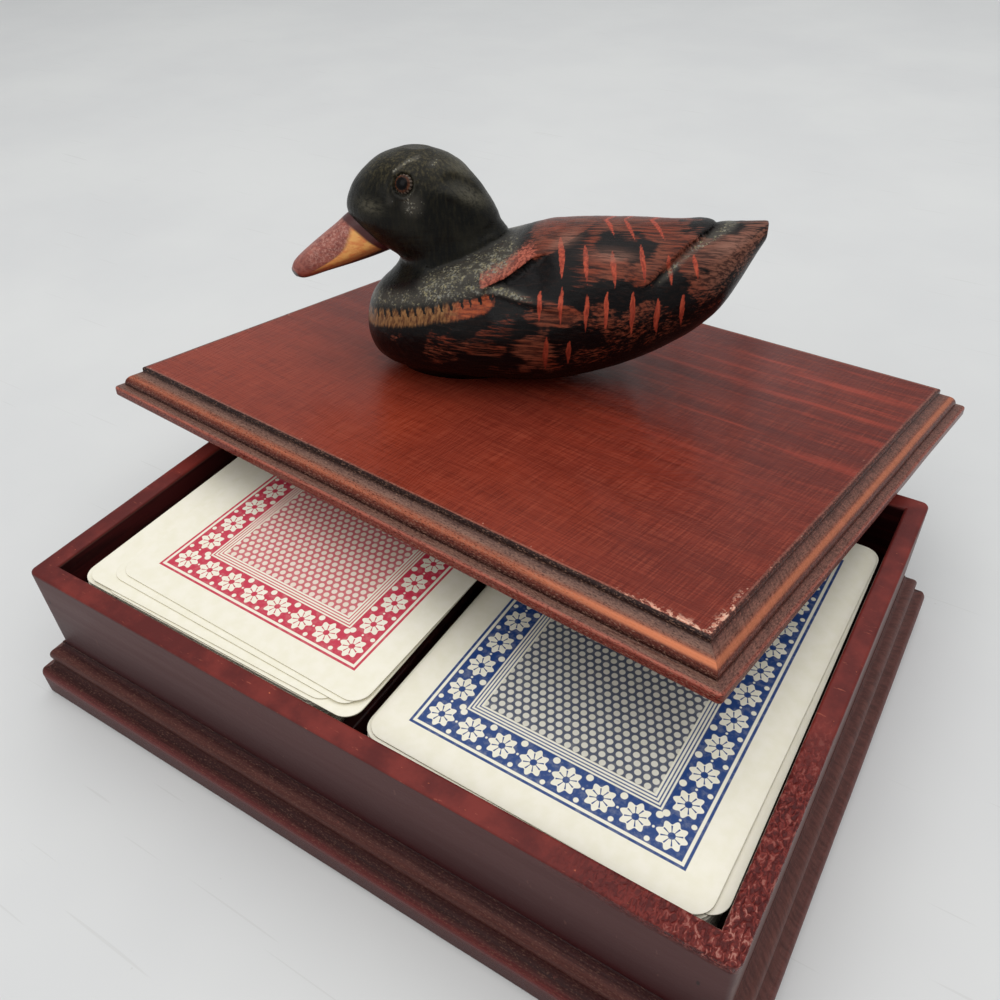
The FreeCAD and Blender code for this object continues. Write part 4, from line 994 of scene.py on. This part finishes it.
def carved_bill():
    """Flattened sections tilted along the bill's line, with the angle and place of each point."""
    out_of_bill = np.array([-math.sin(BILL_TILT), 0.0, math.cos(BILL_TILT)])
    path = np.concatenate([[0], np.cumsum(np.hypot(*np.diff(BILL[:, :2], axis=0).T))])
    sides, ring_count = 72, 90
    around = np.linspace(0, 2 * math.pi, sides, endpoint=False)
    cosine, sine = np.cos(around), np.sin(around)
    square = 0.80
    reach_y = np.sign(cosine) * np.abs(cosine) ** square
    reach_z = np.sign(sine) * np.abs(sine) ** square
    rings, angle, place = [], [], []
    for s in np.linspace(0, path[-1], ring_count):
        at_x, at_z, wide, tall = (float(monotone(path, BILL[:, k], np.array([s]))[0]) for k in range(4))
        dish = -0.10 * tall * np.clip(sine, 0, 1) * (1 - np.abs(cosine))
        high = np.outer(tall * reach_z + dish, out_of_bill)
        rings.append(np.array([at_x, 0, at_z]) + high + np.outer(wide * reach_y, [0, 1, 0]))
        angle.append(np.degrees(np.arctan2(sine, np.abs(cosine))))
        place.append(np.full(sides, s / path[-1]))
    points, faces = tube(rings)
    marks = {"angle": np.concatenate(angle), "place": np.concatenate(place), "seat": head_field(points)}
    return points, faces, marks


def bill_material():
    n = Nodes("bill_paint")
    angle, place, seat = n.attr("angle"), n.attr("place"), n.attr("seat")
    dust = n.spots(1.6, 4.0, 0.75)
    brush = n.streaks((0.5, 1.4, 1.0), 4.0, 0.6, (0, 0.58, 0))
    color = n.blend(brush, 0.35, 0.65, (126, 62, 54), (164, 92, 78))
    pale = n.ramp(dust, 0.46, 0.62) * (n.ramp(place, 0.95, 0.6) * n.ramp(angle, 88.0, 40.0))
    color = n.mix(pale * 0.6, color, (206, 156, 140))
    # The yellow side runs from the cheek to a curved limit that nears the tip low down.
    limit = n.math("EXPONENT", (angle + 30.0) / -22.0)
    limit = limit * 0.72 + 0.20
    side = n.ramp(place - limit, 0.05, -0.03) * n.ramp(angle, 52.0, 40.0)
    side = side * n.ramp(place, 0.90, 0.60)
    color = n.mix(side, color, n.blend(brush, 0.4, 0.65, (250, 186, 106), (238, 148, 82)))
    color = n.mix(n.ramp(angle, -20.0, -38.0) * 0.7, color, (128, 52, 36))
    # Underside of the bill darkened: painted shade.
    color = n.mix(n.ramp(angle, -40.0, -56.0), color, (34, 16, 16))
    color = n.mix(n.ramp(seat, 1.9, 1.2), color, (72, 28, 28))
    color = n.mix(n.ramp(place - angle * 0.0012, 0.93, 0.965), color, (24, 18, 18))
    normal = n.bump(brush + dust, 0.5, 0.00014)
    return n.shade(color, n.ramp(dust, 0.3, 0.7, 0.32, 0.5), 0.45, normal)


def eye_material():
    n = Nodes("bead")
    x, _, z = n.xyz(n.mm())
    out = n.hypot(x, z)
    iris = n.blend(n.spots(2.4, 3.0, 0.7), 0.35, 0.65, (44, 24, 16), (96, 58, 38))
    color = n.mix(n.ramp(out, 1.5, 1.15), iris, (6, 4, 5))
    spokes = n.math("COSINE", n.math("ARCTAN2", z, x) * 16.0)
    rim = n.blend(spokes, -0.6, 0.6, (44, 36, 31), (100, 88, 78))
    return n.shade(n.mix(n.ramp(out, 1.62, 1.85), color, rim), 0.24, 0.10)


def eye_bead(name, side, material):
    sides, ring_count, tip = 32, 24, 0.02
    turns = np.linspace(0, 2 * math.pi, sides, endpoint=False)
    rings = []
    for a in np.linspace(tip, math.pi - tip, ring_count):
        across = EYE_RADIUS * math.sin(a)
        out = np.full(sides, EYE_BULGE * math.cos(a) * side)
        rings.append(np.column_stack([across * np.cos(turns), out, across * np.sin(turns) * side]))
    points, faces = tube(rings)
    pose = DUCK_POSE @ move_mm(EYE[0], side * EYE_OUT, EYE[1]) @ rot("Z", side * 12.0) @ rot("X", side * 20.0)
    return mesh_object(name, points, faces, [material], pose=pose)


skin, skin_faces = carved_duck()
duck = mesh_object("duck_shown", skin, skin_faces, [duck_material()], pose=DUCK_POSE)
for name, values in paint(skin).items():
    set_attribute(duck, name, values)
bill_points, bill_faces, bill_marks = carved_bill()
bill = mesh_object("bill_shown", bill_points, bill_faces, [bill_material()], pose=DUCK_POSE)
for name, values in bill_marks.items():
    set_attribute(bill, name, values)
bead = eye_material()
stand_for(duck, "lid", ["duck_body"])
stand_for(bill, "lid", ["duck_head"])
for name, side in (("eye_shown_left", -1), ("eye_shown_right", 1)):
    stand_for(eye_bead(name, side, bead), "lid", ["duck_eyes"])

# ------------------------------ cards


def blank_card(n):
    return n.blend(n.spots(0.35, 4.0, 0.6), 0.3, 0.7, (245, 240, 219), (250, 245, 228))


def card_surface(n, color, rough):
    return n.shade(color, rough, 0.35, n.bump(n.spots(1.2, 2.0, 0.5), 0.2, 0.00003))


def paper_material():
    n = Nodes("card_paper")
    upright = abs(n.xyz(n.add("NewGeometry", out=1))[2])
    color = n.mix(n.ramp(upright, 0.6, 0.3), blank_card(n), (186, 180, 158))
    return card_surface(n, color, 0.42)


def print_material(name, ink, deep):
    """Card back: frame line, band of rosettes and beads, triple line, field of pale discs."""
    n = Nodes(name)
    print_wide, print_long, blur = 25.8, 38.4, 0.055
    band_wide, band_long = 21.7, 34.3
    field_in, disc_pitch, disc_radius = 9.4, 1.64, 0.58
    x, y, _ = n.xyz(n.mm())
    far_x, far_y = abs(x), abs(y)
    in_x, in_y = print_wide - far_x, print_long - far_y
    inset = n.least(in_x, in_y)

    def over(value, limit):
        return n.ramp(value, limit - blur, limit + blur, smooth=False)

    def under(value, limit):
        return n.ramp(value, limit + blur, limit - blur, smooth=False)

    def between(low, high):
        return over(inset, low) * under(inset, high)

    def without(value):
        return 1.0 - value

    def from_cell_middle(value, pitch):
        return value - (n.math("FLOOR", value / pitch) + 0.5) * pitch

    # Along the band a cell holds one rosette; u runs along it and v across it.
    pitch_x, pitch_y = band_wide / 3.5, band_long / 5.5
    on_short_side = n.math("GREATER_THAN", in_x, in_y)

    def choose(yes, no):
        return on_short_side * yes + without(on_short_side) * no

    u = choose(from_cell_middle(x, pitch_x), from_cell_middle(y, pitch_y))
    v = choose(far_y - band_long, far_x - band_wide)
    r = n.hypot(u, v)
    petals = n.math("COSINE", n.math("ARCTAN2", v, u) * 8.0)
    rosette = over(2.28 + petals * 0.34 - r, 0.0)
    vein = over(petals * -1.0, 0.80) * over(r, 0.5) * under(r, 1.75)
    heart = under(r, 0.62)
    gap = choose(pitch_x / 2, pitch_y / 2) - abs(u)

    def bead_at(level, radius):
        return under(n.hypot(gap, v - level), radius)

    beads = n.most(bead_at(2.35, 0.46), n.most(bead_at(-2.35, 0.62), bead_at(0.0, 0.22)))
    pale = n.most(rosette * without(n.most(vein, heart)), beads)
    tint = between(1.05, 7.25) * without(pale)
    for low, high in ((0.0, 0.5), (7.6, 7.85), (8.2, 8.42), (8.8, 9.02)):
        tint = tint + between(low, high)
    # Staggered rows of pale discs: the nearer of two like grids, the second half a cell along and across.
    row_pitch = disc_pitch * math.sqrt(3)

    def to_disc(shift):
        off_x, off_y = (
            (n.math("FRACT", value / pitch + shift) - 0.5) * pitch
            for value, pitch in ((x, disc_pitch), (y, row_pitch)))
        return n.hypot(off_x, off_y)

    in_field = over(inset, field_in)
    between_discs = over(n.least(to_disc(0.0), to_disc(0.5)), disc_radius)
    tint = n.math("ADD", tint, in_field * between_discs * 0.9, clamp=True)
    tint = tint * n.ramp(n.spots(0.9, 4.0, 0.6), 0.25, 0.55, 0.86, 1.0)
    card = n.mix(in_field * 0.16, blank_card(n), ink)
    color = n.mix(tint, card, n.mix(over(inset, field_in - 0.2), ink, deep))
    return card_surface(n, color, 0.40)


def card_plan():
    far_x, far_y = CARD_WIDTH / 2 - CARD_ROUND, CARD_LENGTH / 2 - CARD_ROUND
    points = []
    for x, y, start in ((far_x, -far_y, -90), (far_x, far_y, 0), (-far_x, far_y, 90), (-far_x, -far_y, 180)):
        for a in np.radians(np.linspace(start, start + 90, 9)):
            points.append((x + CARD_ROUND * math.cos(a), y + CARD_ROUND * math.sin(a)))
    return np.array(points)


def card_slab(low, high, shift=(0.0, 0.0), turn_by=0.0):
    """Skin of one card with softened rims; its top is the last face."""
    soft, shrink = 0.05, 0.9985
    cosine, sine = math.cos(turn_by), math.sin(turn_by)
    plan = card_plan() @ np.array([[cosine, sine], [-sine, cosine]]) + np.array(shift)
    rings = ((plan * shrink, low), (plan, low + soft), (plan, high - soft), (plan * shrink, high))
    return tube([np.column_stack([ring, np.full(len(plan), level)]) for ring, level in rings])


def card_stack(height):
    """A squared-up deck: every card a little off the others, the top one centred."""
    sway, twist, gap = 0.09, 0.0012, 0.012
    count = int(height / CARD_THICK)
    slabs = []
    for k in range(count):
        shift = rng.normal(0, sway, 2) if k < count - 1 else np.zeros(2)
        top = (k + 1) * height / count - gap
        slabs.append(card_slab(k * height / count, top, shift, float(rng.normal(0, twist))))
    return joined(slabs)


PAPER = paper_material()
PRINTS = {
    "red": print_material("card_red", (203, 56, 80), (204, 82, 96)),
    "blue": print_material("card_blue", (36, 68, 128), (40, 56, 90)),
}
# Piece, shares of the side and end play, turn in degrees, whether its back shows.
DEALS = [
    ("red_deck_stack", 0.34, -0.45, 0.0, False), ("red_card_1", 1.44, -0.44, 0.0, False),
    ("red_card_2", 0.48, -0.40, 0.3, False), ("red_card_3", 1.33, -0.26, -1.1, True),
    ("red_card_4", 1.57, -0.17, -1.6, True), ("blue_deck_stack", 0.15, -0.43, 0.0, False),
    ("blue_card_1", 0.41, -0.32, 0.3, False), ("blue_card_2", 0.13, -0.41, -0.5, False),
    ("blue_card_3", 0.24, -0.38, -0.9, True),
]
DECK_MIDDLE = (DIVIDER_THICK + CARD_WIDTH + SIDE_PLAY) / 2
dealt = {"red": 0, "blue": 0}
for name, share_x, share_y, degrees, printed in DEALS:
    deck = name.split("_")[0]
    middle = (-DECK_MIDDLE if deck == "red" else DECK_MIDDLE) + SIDE_PLAY * share_x
    level = PLINTH_HEIGHT
    if name.endswith("stack"):
        points, faces = card_stack(STACK_HEIGHT[deck])
    else:
        points, faces = card_slab(0.0, CARD_THICK)
        level += STACK_HEIGHT[deck] + CARD_THICK * dealt[deck]
        dealt[deck] += 1
    marks = [0] * (len(faces) - 1) + [int(printed)]
    pose = move_mm(middle, END_PLAY * share_y, level) @ rot("Z", degrees)
    card = mesh_object(name + "_shown", points, faces, [PAPER, PRINTS[deck]], marks, smooth=False, pose=pose)
    stand_for(card, deck + "_deck", [name])

# ------------------------------ pieces shown as the solids have them
strip_wood = plain_wood("strip_wood", (70, 26, 24), (98, 40, 34))
nail_steel = metal("nail_steel", (70, 62, 58), 0.5)
screw_steel = metal("screw_steel", (150, 146, 140), 0.35)
pale_wood = plain_wood("pale_wood", (176, 138, 96), (204, 168, 122))
for name, material in (
    ("lid_front_strip", strip_wood), ("lid_back_strip", strip_wood), ("wall_brads", nail_steel),
    ("lid_strip_brads", nail_steel), ("plinth_screws", screw_steel), ("duck_screws", screw_steel),
    ("neck_dowel", pale_wood),
):
    NODE[name].data.materials.clear()
    NODE[name].data.materials.append(material)
